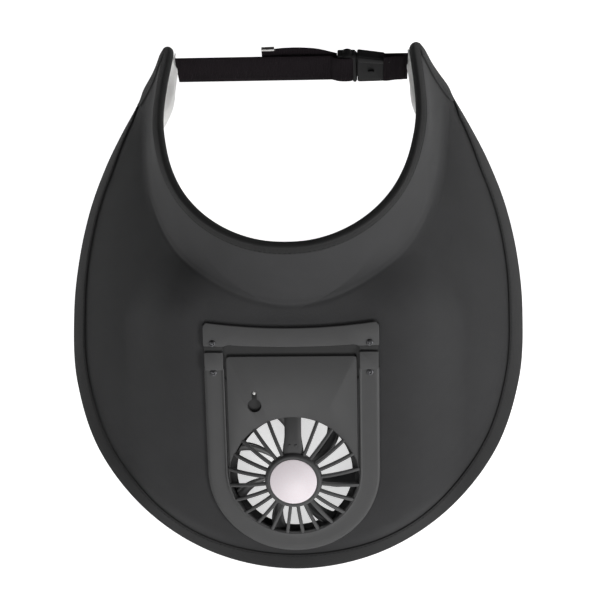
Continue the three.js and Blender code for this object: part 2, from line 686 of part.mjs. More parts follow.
const SEAT_LEVEL = SHEET_THICKNESS / 2 + FIT_GAP;
const DUCT_TOP = HOUSING_LEVEL + PANEL_RISE;
const DUCT_EDGE_UP = Math.sqrt(DUCT_RADIUS ** 2 - KEYHOLE_ACROSS ** 2); // duct's edge below the keyhole
const KEYHOLE_MIDDLE = THREE.MathUtils.lerp(DUCT_EDGE_UP, HOUSING_TOP, KEYHOLE_SHARE);
const KEYHOLE_UP = KEYHOLE_MIDDLE - (KEYHOLE_LENGTH - KEYHOLE_RADIUS) / 2;

function screwHole(x, y) {
  return toSolid(pin(SCREW_SHANK_RADIUS + FIT_GAP, 0, 9, 8, x, y));
}

function makeTopPlate() {
  const w = FRAME_HALF_WIDTH;
  const inner = WINDOW_HALF_WIDTH - 1;
  const shape = new THREE.Shape();
  shape.moveTo(-w, PLATE_TOP);
  shape.quadraticCurveTo(0, PLATE_TOP - 2 * PLATE_TOP_DIP, w - PLATE_CORNER, PLATE_TOP);
  shape.quadraticCurveTo(w, PLATE_TOP, w, PLATE_TOP - PLATE_CORNER);
  shape.lineTo(w, PLATE_ARM_END);
  shape.lineTo(inner, PLATE_ARM_END);
  const bottomEnd = PLATE_BOTTOM + PLATE_EDGE_SAG;
  shape.quadraticCurveTo(inner, bottomEnd, inner - PLATE_CORNER, bottomEnd);
  shape.quadraticCurveTo(0, PLATE_BOTTOM - PLATE_EDGE_SAG, -inner + PLATE_CORNER, bottomEnd);
  shape.quadraticCurveTo(-inner, bottomEnd, -inner, PLATE_ARM_END);
  shape.lineTo(-w, PLATE_ARM_END);
  shape.closePath();
  let solid = toSolid(extruded(shape, SEAT_LEVEL, SEAT_LEVEL + PLATE_THICKNESS, 10));
  for (const sign of [-1, 1]) {
    solid = solid.subtract(screwHole(sign * SCREW_ACROSS, PLATE_SCREW_UP));
  }
  addPiece(moduleGroup, "top_plate", "plastic", toGeometry(solid));
}

function makeFrame() {
  const shape = archShape(FRAME_HALF_WIDTH, FRAME_TOP, FRAME_ARC_LIFT);
  const full = toSolid(extruded(shape, SEAT_LEVEL, SEAT_LEVEL + FRAME_THICKNESS, 16));
  const window = archShape(WINDOW_HALF_WIDTH, FRAME_TOP + LUG_LENGTH + 1, FRAME_ARC_LIFT);
  let solid = full.subtract(toSolid(extruded(window, 0, 9, 16)));
  const lugTop = Math.min(FRAME_TOP + LUG_LENGTH, PLATE_ARM_END - FIT_GAP);
  for (const sign of [-1, 1]) {
    const inner = sign * (WINDOW_HALF_WIDTH + LUG_INNER_INSET);
    const outer = sign * (FRAME_HALF_WIDTH - LUG_OUTER_INSET);
    const lug = box(
      Math.min(inner, outer), Math.max(inner, outer), FRAME_TOP - 0.2, lugTop,
      SEAT_LEVEL, SEAT_LEVEL + FRAME_THICKNESS + LUG_RISE,
    );
    solid = solid.add(toSolid(lug)).subtract(screwHole(sign * SCREW_ACROSS, FRAME_SCREW_UP));
  }
  addPiece(moduleGroup, "fan_frame", "plastic", toGeometry(solid));
}

// The housing's body stands under the frame, and its rim stands in the frame's window.
function makeHousing() {
  const half = WINDOW_HALF_WIDTH - FIT_GAP;
  const top = HOUSING_TOP + RECESS_LENGTH;
  const body = toSolid(extruded(archShape(half, top, 0), -DUCT_DEPTH, SEAT_LEVEL - FIT_GAP, 16));
  const rim = toSolid(extruded(archShape(half, top, FRAME_ARC_LIFT), 0, HOUSING_LEVEL, 16));
  const panelShape = archShape(half - PANEL_INSET, HOUSING_TOP, FRAME_ARC_LIFT);
  const panel = toSolid(extruded(panelShape, HOUSING_LEVEL - 1, DUCT_TOP, 16));
  const battery = toSolid(box(
    -half + BATTERY_INSET, half - BATTERY_INSET, DUCT_RADIUS + BATTERY_MARGIN, top - BATTERY_INSET,
    -BATTERY_DEPTH, -DUCT_DEPTH + 1,
  ));
  const recess = toSolid(box(-half - 1, half + 1, HOUSING_TOP, top + 1, RECESS_LEVEL, HOUSING_LEVEL + 1));
  const duct = toSolid(pin(DUCT_RADIUS, -DUCT_DEPTH - 1, DUCT_TOP + 1, 48));
  const keyLow = DUCT_TOP - KEYHOLE_DEPTH;
  const keyCircle = toSolid(pin(KEYHOLE_RADIUS, keyLow, DUCT_TOP + 1, 20, KEYHOLE_ACROSS, KEYHOLE_UP));
  const slotEnd = KEYHOLE_UP + KEYHOLE_LENGTH - KEYHOLE_SLOT / 2;
  const keySlot = toSolid(box(
    KEYHOLE_ACROSS - KEYHOLE_SLOT / 2, KEYHOLE_ACROSS + KEYHOLE_SLOT / 2, KEYHOLE_UP, slotEnd,
    keyLow, DUCT_TOP + 1,
  ));
  const keyRound = toSolid(pin(KEYHOLE_SLOT / 2, keyLow, DUCT_TOP + 1, 12, KEYHOLE_ACROSS, slotEnd));
  const keyhole = keyCircle.add(keySlot).add(keyRound);
  const open = body.add(rim).add(panel).subtract(recess).add(battery);
  const solid = open.subtract(duct).subtract(keyhole);
  addPiece(moduleGroup, "fan_housing", "plastic", toGeometry(solid));
  const lampRadius = KEYHOLE_SLOT / 2 - 2 * FIT_GAP;
  const lampLow = keyLow + FIT_GAP;
  const lamp = pin(lampRadius, lampLow, DUCT_TOP - 1, 12, KEYHOLE_ACROSS, slotEnd);
  addPiece(moduleGroup, "indicator_lamp", "lamp", lamp);
}

function makeScrews() {
  const names = { "-1": "left", 1: "right" };
  const places = [
    ["screw_plate", PLATE_SCREW_UP, SEAT_LEVEL + PLATE_THICKNESS],
    ["screw_frame", FRAME_SCREW_UP, SEAT_LEVEL + FRAME_THICKNESS],
  ];
  for (const [name, up, seat] of places) {
    for (const sign of [-1, 1]) {
      const low = seat + FIT_GAP;
      const corners = [
        [0, SEAT_LEVEL], [SCREW_SHANK_RADIUS, SEAT_LEVEL], [SCREW_SHANK_RADIUS, low],
        [SCREW_HEAD_RADIUS, low], [SCREW_HEAD_RADIUS * SCREW_HEAD_TAPER, low + SCREW_HEAD_HEIGHT],
        [0, low + SCREW_HEAD_HEIGHT],
      ];
      const screw = turned(corners, 12).translate(sign * SCREW_ACROSS, up, 0);
      addPiece(moduleGroup, `${name}_${names[sign]}`, "plastic", screw);
    }
  }
}

// Grille

const GRILLE_RADIUS = DUCT_RADIUS - FIT_GAP;
const GRILLE_INNER = GRILLE_RADIUS - GRILLE_RIM;
const HUB_BASE = DUCT_TOP + GRILLE_DOME - SPOKE_DEPTH;
const HUB_TOP = HUB_BASE + HUB_HEIGHT;

// Top height of a spoke at a radius: a parabola from the hub down to the rim.
function spokeHeight(radius) {
  const share = (radius - HUB_RADIUS) / (GRILLE_INNER - HUB_RADIUS);
  return DUCT_TOP + GRILLE_DOME * (1 - Math.max(share, 0) ** 2);
}

function spokeSolid(width, drop, angle) {
  const radii = [HUB_RADIUS - 2, HUB_RADIUS + SPOKE_BEND, GRILLE_INNER + GRILLE_RIM / 6];
  const upper = radii.map((radius) => new THREE.Vector2(radius, spokeHeight(radius) - drop));
  const lower = radii.map((radius) => new THREE.Vector2(radius, spokeHeight(radius) - drop - SPOKE_DEPTH));
  lower[2].y -= SPOKE_FOOT;
  const profile = new THREE.Shape([...lower, ...upper.reverse()]);
  const bar = extruded(profile, -width / 2, width / 2, 1);
  bar.rotateX(Math.PI / 2).rotateZ(Math.PI / 2 - angle);
  return toSolid(bar);
}

function makeGrille() {
  const rimLow = -DUCT_DEPTH + FIT_GAP;
  const rimHigh = SEAT_LEVEL - FIT_GAP; // the rim stays below the frame's lower edge
  const rimCorners = [
    [GRILLE_INNER, rimLow], [GRILLE_RADIUS, rimLow], [GRILLE_RADIUS, rimHigh],
    [GRILLE_INNER, rimHigh], [GRILLE_INNER, rimLow],
  ];
  let solid = toSolid(turned(rimCorners, 36));
  const hubCorners = [
    [0, MOTOR_END], [MOTOR_RADIUS, MOTOR_END], [MOTOR_RADIUS, HUB_BASE], [HUB_RADIUS, HUB_BASE],
    [HUB_RADIUS - HUB_TAPER, HUB_TOP], [LABEL_RADIUS + FIT_GAP, HUB_TOP],
    [LABEL_RADIUS + FIT_GAP, HUB_TOP - LABEL_POCKET], [0, HUB_TOP - LABEL_POCKET],
  ];
  solid = solid.add(toSolid(turned(hubCorners, 24)));
  const firstSpoke = Math.PI - (SPOKE_PITCH * (SPOKES - 1)) / 2;
  for (let k = 0; k < SPOKES; k += 1) {
    solid = solid.add(spokeSolid(SPOKE_WIDTH, 0, firstSpoke + k * SPOKE_PITCH));
  }
  solid = solid.add(spokeSolid(STRUT_WIDTH, STRUT_DROP, 0));
  const socket = pin(SHAFT_RADIUS + FIT_GAP, MOTOR_END - 1, MOTOR_END + SHAFT_ENGAGED + FIT_GAP, 12);
  solid = solid.subtract(toSolid(socket));
  addPiece(moduleGroup, "fan_grille", "plastic", toGeometry(solid));
  const labelLow = HUB_TOP - LABEL_POCKET + FIT_GAP;
  addPiece(moduleGroup, "hub_label", "label", pin(LABEL_RADIUS, labelLow, labelLow + LABEL_THICKNESS, 24));
}

// Rotor

function bladeSolid(angle) {
  const low = -DUCT_DEPTH + 0.8 + BLADE_THICKNESS / 2;
  const high = MOTOR_END + 0.7 - BLADE_THICKNESS / 2;
  const inner = ROTOR_HUB_RADIUS - 1;
  const outer = GRILLE_INNER - BLADE_TIP_GAP;
  const radialSteps = 4;
  const chordSteps = 3;
  const point = (lift) => (i, j) => {
    const radius = inner + ((outer - inner) * i) / (radialSteps - 1);
    const t = j / (chordSteps - 1);
    const lag = BLADE_LAG * (i / (radialSteps - 1)) ** 2;
    const turn = angle - lag + BLADE_SWEEP * (t - 0.5);
    const z = low + (high - low) * t + lift;
    return new THREE.Vector3(radius * Math.sin(turn), radius * Math.cos(turn), z);
  };
  const half = BLADE_THICKNESS / 2;
  return toSolid(closedGrid(radialSteps, chordSteps, point(half), point(-half)));
}

function makeRotor() {
  const top = MOTOR_END - FIT_GAP;
  const corners = [
    [0, top - ROTOR_HEIGHT], [ROTOR_HUB_RADIUS - 1, top - ROTOR_HEIGHT],
    [ROTOR_HUB_RADIUS, top - ROTOR_HEIGHT + 1], [ROTOR_HUB_RADIUS, top],
    [SHAFT_RADIUS, top], [SHAFT_RADIUS, MOTOR_END + SHAFT_ENGAGED], [0, MOTOR_END + SHAFT_ENGAGED],
  ];
  let solid = toSolid(turned(corners, 28));
  for (let k = 0; k < BLADES; k += 1) {
    solid = solid.add(bladeSolid(BLADE_START + (2 * Math.PI * k) / BLADES));
  }
  addPiece(moduleGroup, "fan_rotor", "blade", toGeometry(solid));
}

makeShell();
makeTapes();
makeLining();
makeStraps();
makeBuckle();
makeTopPlate();
makeFrame();
makeHousing();
makeScrews();
makeGrille();
makeRotor();

// The origin is the bottom centre of the whole visor's box.
model.updateMatrixWorld(true);
const bounds = new THREE.Box3().setFromObject(model, true);
model.position.set(-(bounds.min.x + bounds.max.x) / 2, -(bounds.min.y + bounds.max.y) / 2, -bounds.min.z);

export default model;
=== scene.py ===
"""Looks of the fan hat: cloth, tapes, lining, strap, buckle and the fan module in its brim.

Shapes are worked out in millimetres in the sheet's own frame, with the crease's front point on the
Y axis, and are moved into the CAD model's frame and turned into metres when a mesh is written.
"""

import json
import math

import bpy
import numpy as np
from mathutils import Matrix, Vector


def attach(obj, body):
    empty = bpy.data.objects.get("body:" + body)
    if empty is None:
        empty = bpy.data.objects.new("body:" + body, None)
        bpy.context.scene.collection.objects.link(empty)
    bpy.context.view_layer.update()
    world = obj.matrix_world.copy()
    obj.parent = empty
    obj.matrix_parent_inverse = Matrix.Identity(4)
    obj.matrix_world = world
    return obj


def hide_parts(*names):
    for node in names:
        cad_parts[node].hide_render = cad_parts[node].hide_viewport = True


bl_info = {
    "name": "Fan hat",
    "version": (1, 0, 0),
    "blender": (4, 5, 0),
    "location": "3D View > Sidebar > Fan hat",
    "description": "Makes the cloth, strap and fan module of an open-top sun hat with a fan",
    "category": "Object",
}

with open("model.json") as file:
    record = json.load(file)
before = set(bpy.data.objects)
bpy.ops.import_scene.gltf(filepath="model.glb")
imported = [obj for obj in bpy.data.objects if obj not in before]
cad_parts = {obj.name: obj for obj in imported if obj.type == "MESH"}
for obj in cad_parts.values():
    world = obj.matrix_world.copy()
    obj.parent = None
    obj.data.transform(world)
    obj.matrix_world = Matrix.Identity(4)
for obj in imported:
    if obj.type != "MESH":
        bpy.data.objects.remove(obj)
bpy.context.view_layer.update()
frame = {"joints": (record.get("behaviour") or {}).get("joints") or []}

# Sizes of the cloth sheet, in millimetres. The crease's softness and last two rows, the reach of
# the flat round the module, the tape's ranges and the groove are the scene's own, and the rest are
# the CAD model's
SHEET = 2.5
BRIM_HALF_WIDTH = 150.2
BRIM_LENGTH = 317.1
BRIM_DEPTH = 160.6
CREASE_HALF_WIDTH = 100.8
CREASE_LENGTH = 154.4
CREASE_HEIGHT = 78.0
CREASE_SOFTNESS = 6.0
SOFT_SHARE = 0.45
CREASE_DROOP = 1.3
CROWN_HALF_WIDTH = 81.5
CROWN_LENGTH = 146.0
BAND_SETBACK = 27.6
BAND_RISE = 49.4
LEAN = math.radians(18)
REAR_LIFT = 14.0
BRIM_BOW = 0.045
BAND_CURL = 2.4
CURL_POWER = 5
CURL_SCALE = (CURL_POWER + 1) ** (CURL_POWER + 1) / CURL_POWER ** CURL_POWER
REAR_CORNER_RADIUS = 12.0
TIP_RADIUS = 6.0
MODULE_NEAR = 3.0
MODULE_FAR = 56.0
EDGE_SHARE = 0.075
LIFT_RANGE = (0.58, 0.97)
BOW_RANGE = (0.12, 0.45)
CURL_RANGE = (0.45, 0.8)
PAD_RANGE = (0.78, 0.93)
RISE_RANGE = (0.93, 0.98)
NARROW_RANGE = (0.95, 0.99)
SIDE_WIDENING = 6.0
WIDEN_RANGE = (0.2, 0.55)
WIDEN_END_RANGE = (0.8, 0.95)
GROOVE_DEPTH = 0.55
GROOVE_PLACE = 1.42
GROOVE_SPREAD = 0.16
GROOVE_RANGE = (0.5, 0.75)
GROOVE_EASE = 0.6
GROOVE_EASE_RANGE = (0.12, 0.4)

# Lining, strap and buckle
TAPE_GAP = 0.65
TAPE = 0.8
CROWN_TAPE = 5.8
TAPE_OUT = SHEET / 2 + 0.35 + TAPE
TAPE_IN = SHEET / 2 + 0.3
STITCH_INSET = 1.3
STITCH_SHARE = 0.72
STITCH_RADIUS = 0.2
LINING = 1.0
LINING_PAD = 10.0
LINING_LOW = 1.9
LINING_REACH = 0.985
LINING_ROWS = [(0, 0.15), (0.3, 0.75), (0.6, 1), (0.85, 0.8), (1, 0.2)]
WEB_WIDTH = 25.0
WEB = 1.6
STRAP_SETBACK = 13.0
STRAP_DROP = 10.7
BUCKLE_RAISE = 2.0
BUCKLE_LOW, BUCKLE_HIGH = BUCKLE_RAISE - 13.6, BUCKLE_RAISE + 13.4
SLIDER_LENGTH = 12.5
BUCKLE_LENGTH = 17.8
BUCKLE_OFFSET = 36.4
TAIL_LENGTH = 49.0
TAIL_RISE = 5.0
GAP = 0.3

# Fan module, from the fan's centre on the cloth's middle: x across, y up the slope, z out of it
FAN_DOWN = 114.8995
FRAME_HALF = 55.2
FRAME_ARC_LIFT = 3.9
FRAME_TOP = 73.3
WINDOW_HALF = 42.5
SHELL_CLEARANCE = 2.2
LUG_TOP = 84.3
SEAT = SHEET / 2 + GAP
PLATE_TOP = 103.9
PLATE_DIP = 4.2
PLATE_BOTTOM = 87.2
PLATE_ARM_END = 84.6 + 3.4
PLATE_CORNER = 4.0
PLATE_THICKNESS = 2.2
HOUSING_TOP = 81.2
PANEL_LEVEL = 3.4
DUCT_END = -8.0
BATTERY_END = -13.0
RECESS_LENGTH = 9.0
RECESS_LEVEL = -0.5
DUCT_RADIUS = 40.6
DUCT_WIDENING = 1.2
DUCT_WIDE_RANGE = (math.radians(62), math.radians(78))
DUCT_LESS_RANGE = (math.radians(98), math.radians(108))
LEDGE_ROWS = ((39.2, 0.7), (37.6, 0.5), (37.4, 0.2), (37.6, -0.2))
ARCH_CORNER = 0.6
KEY_X, KEY_Y = -24.0, 48.63
KEY_RADIUS = 4.4
KEY_SLOT = 3.3
KEY_LENGTH = 9.7
KEY_DEPTH = 5.0
SCREW_X = 49.3
PLATE_SCREW_Y = 90.0
FRAME_SCREW_Y = 70.6
SPOKES = 22
SPOKE_PITCH = math.radians(15)
SPOKE_WIDTH = 2.2
STRUT_WIDTH = 10.6
DOME = 5.6
HUB_RADIUS = 18.4
HUB_BASE = PANEL_LEVEL + DOME - 2.2
HUB_TOP = HUB_BASE + 4.0
LABEL_RADIUS = 14.9
MOTOR_END = -1.5
BLADES = 7
BLADE_START = math.radians(2.3)
BLADE_ROOT = 13.3
BLADE_TIP = 39.0
BLADE_SWEEP = math.radians(13)
BLADE_SKEW = 0.22

SLOPE = math.atan2(CREASE_HEIGHT, BRIM_DEPTH)
FALL = CREASE_LENGTH * math.tan(LEAN)
FAN_CENTRE = np.array([0, -FAN_DOWN * math.cos(SLOPE), CREASE_HEIGHT - FAN_DOWN * math.sin(SLOPE)])
FAN_JOINT = next(joint for joint in frame["joints"] if joint["name"] == "fan_spin")
SHIFT = 1000 * np.array(FAN_JOINT["pos_m"]) - FAN_CENTRE

# Plan outlines as shares of the half width and of the length, from the front to the rear end
BRIM_ROWS = [
    (0, 0), (0.348, 0.031), (0.648, 0.116), (0.866, 0.241), (0.976, 0.388), (1, 0.53),
    (0.984, 0.651), (0.938, 0.756), (0.866, 0.847), (0.782, 0.926), (0.695, 1),
]
CREASE_ROWS = [
    (0, 0), (0.188, 0.015), (0.366, 0.056), (0.527, 0.119), (0.668, 0.201), (0.778, 0.302),
    (0.858, 0.414), (0.917, 0.536), (0.953, 0.669), (0.976, 0.82), (1.012, 1.025),
]
CROWN_ROWS = [
    (0, 0), (0.18, 0.007), (0.357, 0.034), (0.526, 0.082), (0.679, 0.151), (0.807, 0.24),
    (0.901, 0.348), (0.962, 0.471), (0.998, 0.609), (0.992, 0.775), (0.955, 1),
]


def fade(x, low, high):
    """Zero below low and one above high, with a cubic ease between them."""
    t = np.clip((np.asarray(x, float) - low) / (high - low), 0, 1)
    return t * t * (3 - 2 * t)


def unit(vectors):
    """Each vector divided by its length."""
    return vectors / np.maximum(np.linalg.norm(vectors, axis=-1, keepdims=True), 1e-12)


def run_along(line):
    """Length from a line's first point to each of its points."""
    return np.concatenate([[0], np.cumsum(np.linalg.norm(np.diff(line, axis=0), axis=1))])


def full_turn(count):
    """Equal angles once round, from zero."""
    return np.arange(count) * 2 * math.pi / count


def at_level(flat, level):
    """Flat points, all at one height."""
    return np.concatenate([flat, np.full((len(flat), 1), level)], 1)


def outline_points(rows, half_width, front, length):
    """A row's shares times its sizes, mirrored so that the list runs from left to right."""
    rows = np.array(rows, float)
    right = np.stack([half_width * rows[:, 0], front + length * rows[:, 1]], axis=1)
    return np.concatenate([right[:0:-1] * [-1, 1], right])


BRIM_LINE = outline_points(BRIM_ROWS, BRIM_HALF_WIDTH, -BRIM_DEPTH, BRIM_LENGTH)
CREASE_LINE = outline_points(CREASE_ROWS, CREASE_HALF_WIDTH, 0, CREASE_LENGTH)
CROWN_LINE = outline_points(CROWN_ROWS, CROWN_HALF_WIDTH, BAND_SETBACK, CROWN_LENGTH)


def spline(points, t):
    """Uniform Catmull-Rom curve: between points 1 and 2 a cubic whose end slopes are half the
    steps from point 0 to point 2 and from point 1 to point 3."""
    last = len(points) - 1
    place = np.clip(t, 0, 1) * last
    low = np.minimum(np.floor(place).astype(int), last)
    w = (place - low)[..., None]
    p0, p1 = points[np.maximum(low - 1, 0)], points[low]
    p2, p3 = points[np.minimum(low + 1, last)], points[np.minimum(low + 2, last)]
    v0, v1 = (p2 - p0) / 2, (p3 - p1) / 2
    return (2 * p1 - 2 * p2 + v0 + v1) * w ** 3 + (3 * p2 - 3 * p1 - 2 * v0 - v1) * w ** 2 + v0 * w + p1


def curve_length(points):
    """Length of a spline through points, from many short chords."""
    line = spline(points, np.linspace(0, 1, 400))
    return np.linalg.norm(np.diff(line, axis=0), axis=1).sum()


def three_edges(around):
    """Brim edge, crease and crown edge at a share round. The crease falls to the rear by a power
    of its share back, and the crown stands over it on a plane with the same lean."""
    t = (around + 1) / 2
    brim, crease, crown = (spline(line, t) for line in (BRIM_LINE, CREASE_LINE, CROWN_LINE))
    lift = REAR_LIFT * fade(np.abs(around), *LIFT_RANGE)
    crease_z = CREASE_HEIGHT - FALL * np.maximum(crease[..., 1] / CREASE_LENGTH, 0) ** CREASE_DROOP
    crown_z = crease_z + BAND_RISE - math.tan(LEAN) * (crown[..., 1] - crease[..., 1])
    heights = (lift, crease_z, crown_z)
    return [np.concatenate([line, z[..., None]], -1) for line, z in zip((brim, crease, crown), heights)]


def module_distance(x, y):
    """Distance from the fan module's outline, zero inside it."""
    down = -y / math.cos(SLOPE)
    round_from = FAN_DOWN - FRAME_ARC_LIFT
    low = np.maximum(np.hypot(x, down - round_from) - FRAME_HALF, 0)
    high = np.hypot(np.maximum(np.abs(x) - FRAME_HALF, 0), np.maximum(FAN_DOWN - PLATE_TOP - down, 0))
    return np.where(down > round_from, low, high)


def sheet(around, across):
    """The cloth's middle surface. Brim and band are straight runs from the crease to their edges,
    joined by a quadratic curve over the soft crease, bowed up along the brim by a parabola,
    curled out below the band's top edge by a power of the share up the band, and raised to the
    module's flat plane beside the module."""
    around, across = np.broadcast_arrays(np.asarray(around, float), np.asarray(across, float))
    brim, crease, crown = three_edges(around)
    brim_run, band_run = brim - crease, crown - crease
    brim_length = np.linalg.norm(brim_run, axis=-1)
    band_length = np.linalg.norm(band_run, axis=-1)
    soft = np.minimum(CREASE_SOFTNESS, SOFT_SHARE * np.minimum(brim_length, band_length))
    soft_brim, soft_band = soft / brim_length, soft / band_length
    middle = np.clip(across, 1, 2)
    brim_share = np.where(across <= 1, 1 - across * (1 - soft_brim), soft_brim * (2 - middle) ** 2)
    band_share = np.where(
        across > 2, soft_band + (across - 2) * (1 - soft_band), soft_band * (middle - 1) ** 2
    )
    point = crease + brim_run * brim_share[..., None] + band_run * band_share[..., None]
    along = brim_run / brim_length[..., None]
    rise = unit(np.array([0.0, 0, 1]) - along * along[..., 2:])
    bow = BRIM_BOW * brim_length * fade(np.abs(around), *BOW_RANGE) * 4 * brim_share * (1 - brim_share)
    point = point + rise * bow[..., None]
    curl = BAND_CURL * fade(np.abs(around), *CURL_RANGE) * CURL_SCALE
    point[..., 0] += np.sign(around) * curl * band_share ** CURL_POWER * (1 - band_share)
    below = CREASE_HEIGHT + point[..., 1] * math.tan(SLOPE) - point[..., 2]
    near = 1 - fade(module_distance(point[..., 0], point[..., 1]), MODULE_NEAR, MODULE_FAR)
    point[..., 2] += np.maximum(below, 0) * near * np.minimum((1 - brim_share) / EDGE_SHARE, 1)
    return point


def sheet_slopes(around, across):
    """The sheet's two directions, by small steps, and its outward normal."""
    step = 1e-3
    a0, a1 = np.maximum(around - step, -1), np.minimum(around + step, 1)
    c0, c1 = np.maximum(across - step, 0), np.minimum(across + step, 3)
    by_around = (sheet(a1, across) - sheet(a0, across)) / (a1 - a0)[..., None]
    by_across = (sheet(around, c1) - sheet(around, c0)) / (c1 - c0)[..., None]
    return by_around, by_across, unit(np.cross(by_around, by_across))


def off_sheet(around, across, height):
    """A point at a height off the middle surface, along its normal."""
    around, across, height = np.broadcast_arrays(
        np.asarray(around, float), np.asarray(across, float), np.asarray(height, float)
    )
    return sheet(around, across) + sheet_slopes(around, across)[2] * height[..., None]


REAR_BRIM, REAR_CREASE, REAR_CROWN = (edge for edge in three_edges(np.array(1.0)))
REAR_BRIM_LENGTH = float(np.linalg.norm(REAR_BRIM - REAR_CREASE))
REAR_BAND_LENGTH = float(np.linalg.norm(REAR_CROWN - REAR_CREASE))
BRIM_CURVE = curve_length(BRIM_LINE) / 2
CROWN_CURVE = curve_length(CROWN_LINE) / 2


def round_limit(across):
    """Largest share round at a place across: one, less a quarter circle at each rear corner."""
    across = np.asarray(across, float)
    rear = min(REAR_CORNER_RADIUS, 2 * (1 - SOFT_SHARE) * REAR_BRIM_LENGTH)
    rest = np.clip(rear - across * (1 - SOFT_SHARE) * REAR_BRIM_LENGTH, 0, rear)
    cut = (rear - np.sqrt(rear ** 2 - rest ** 2)) / BRIM_CURVE
    crown_run = (3 - across) * (REAR_BAND_LENGTH - SOFT_SHARE * REAR_BRIM_LENGTH)
    rest = np.clip(TIP_RADIUS - crown_run, 0, TIP_RADIUS)
    cut = cut + (TIP_RADIUS - np.sqrt(TIP_RADIUS ** 2 - rest ** 2)) / CROWN_CURVE
    return 1 - cut


def from_module(points):
    """Points of the module's frame, turned by the brim's slope and moved to the fan's centre."""
    points = np.asarray(points, float)
    x, y, z = points[..., 0], points[..., 1], points[..., 2]
    turned = [x, y * math.cos(SLOPE) - z * math.sin(SLOPE), y * math.sin(SLOPE) + z * math.cos(SLOPE)]
    return np.stack(turned, -1) + FAN_CENTRE


# Meshes from grids of points


def signed_volume(points, quads):
    """Sum of the signed tetrahedra under each quad's two triangles."""
    a, b, c, d = (points[quads[:, k]] for k in range(4))
    return (np.einsum("ij,ij->i", a, np.cross(b, c)) + np.einsum("ij,ij->i", a, np.cross(c, d))).sum() / 6


def swept(rings, uv=None, closed=False):
    """A closed body from a section carried along a path: rings of points, joined each to the next.
    A section is folded, so its point k lies across from point n-1-k, and strips between such
    pairs close both ends. Returns points, quads and the weave coordinates of each point."""
    steps, size = rings.shape[:2]
    grid = np.arange(steps * size).reshape(steps, size)
    across = np.roll(grid, -1, axis=1)
    if closed:
        quads = [np.stack([grid, across, np.roll(across, -1, 0), np.roll(grid, -1, 0)], -1).reshape(-1, 4)]
    else:
        quads = [np.stack([grid[:-1], across[:-1], across[1:], grid[1:]], -1).reshape(-1, 4)]
    if not closed:
        k = np.arange(size // 2 - 1)
        strip = np.stack([k, size - 1 - k, size - 2 - k, k + 1], -1)
        quads.append(grid[0][strip])
        quads.append(grid[-1][strip][:, ::-1])
    quads = np.concatenate(quads)
    points = rings.reshape(-1, 3)
    if signed_volume(points - points.mean(0), quads) < 0:
        quads = quads[:, ::-1]
    if uv is None:
        uv = np.zeros((steps, size, 2))
    return points, quads, uv.reshape(-1, 2)


def folded(upper, lower):
    """One ring list from two grids of points: out along the upper side, back along the lower."""
    return np.concatenate([upper, lower[:, ::-1]], axis=1)


def turned(profile, segments):
    """A closed profile of [radius, height] turned about the fan's axis, in the module's frame."""
    profile = np.array(profile, float)
    angle = full_turn(segments)
    x = profile[None, :, 0] * np.sin(angle)[:, None]
    y = profile[None, :, 0] * np.cos(angle)[:, None]
    return np.stack([x, y, np.broadcast_to(profile[None, :, 1], x.shape)], -1)


def rounded(points, radius, steps=5):
    """A closed polygon whose corners become quadratic curves that start radius away from them."""
    points = np.array(points, float)
    before, after = np.roll(points, 1, 0) - points, np.roll(points, -1, 0) - points
    reach = np.minimum(radius, 0.49 * np.minimum(
        np.linalg.norm(before, axis=1), np.linalg.norm(after, axis=1)))[:, None]
    t = np.linspace(0, 1, steps)[None, :, None]
    first, last = points + unit(before) * reach, points + unit(after) * reach
    corner = first[:, None] * (1 - t) ** 2 + 2 * points[:, None] * t * (1 - t) + last[:, None] * t ** 2
    return corner.reshape(-1, points.shape[1])


def rounded_box(x0, y0, x1, y1, radius, steps=5):
    """A rectangle with rounded corners, from its lower left to its upper right corner."""
    return rounded([(x0, y0), (x1, y0), (x1, y1), (x0, y1)], radius, steps)


def inset(outline, distance):
    """A counter-clockwise outline moved inwards by a distance, along the mean of its two sides."""
    ahead = unit(np.roll(outline, -1, 0) - outline)
    behind = unit(outline - np.roll(outline, 1, 0))
    along = unit(ahead + behind)
    return outline + np.stack([-along[:, 1], along[:, 0]], -1) * distance


def slab_rings(outline, low, high, bevel, steps=4):
    """Rings of a plate with round edges: the outline is inset by bevel (1 - sin a) where its
    height has come bevel (1 - cos a) from either face."""
    angle = np.linspace(0, math.pi / 2, steps)
    insets = bevel * (1 - np.sin(angle))
    rises = bevel * (1 - np.cos(angle))
    rows = [(d, low + r) for d, r in zip(insets, rises)]
    rows += [(d, high - r) for d, r in zip(insets[::-1], rises[::-1])]
    return np.stack([at_level(inset(outline, d), z) for d, z in rows])


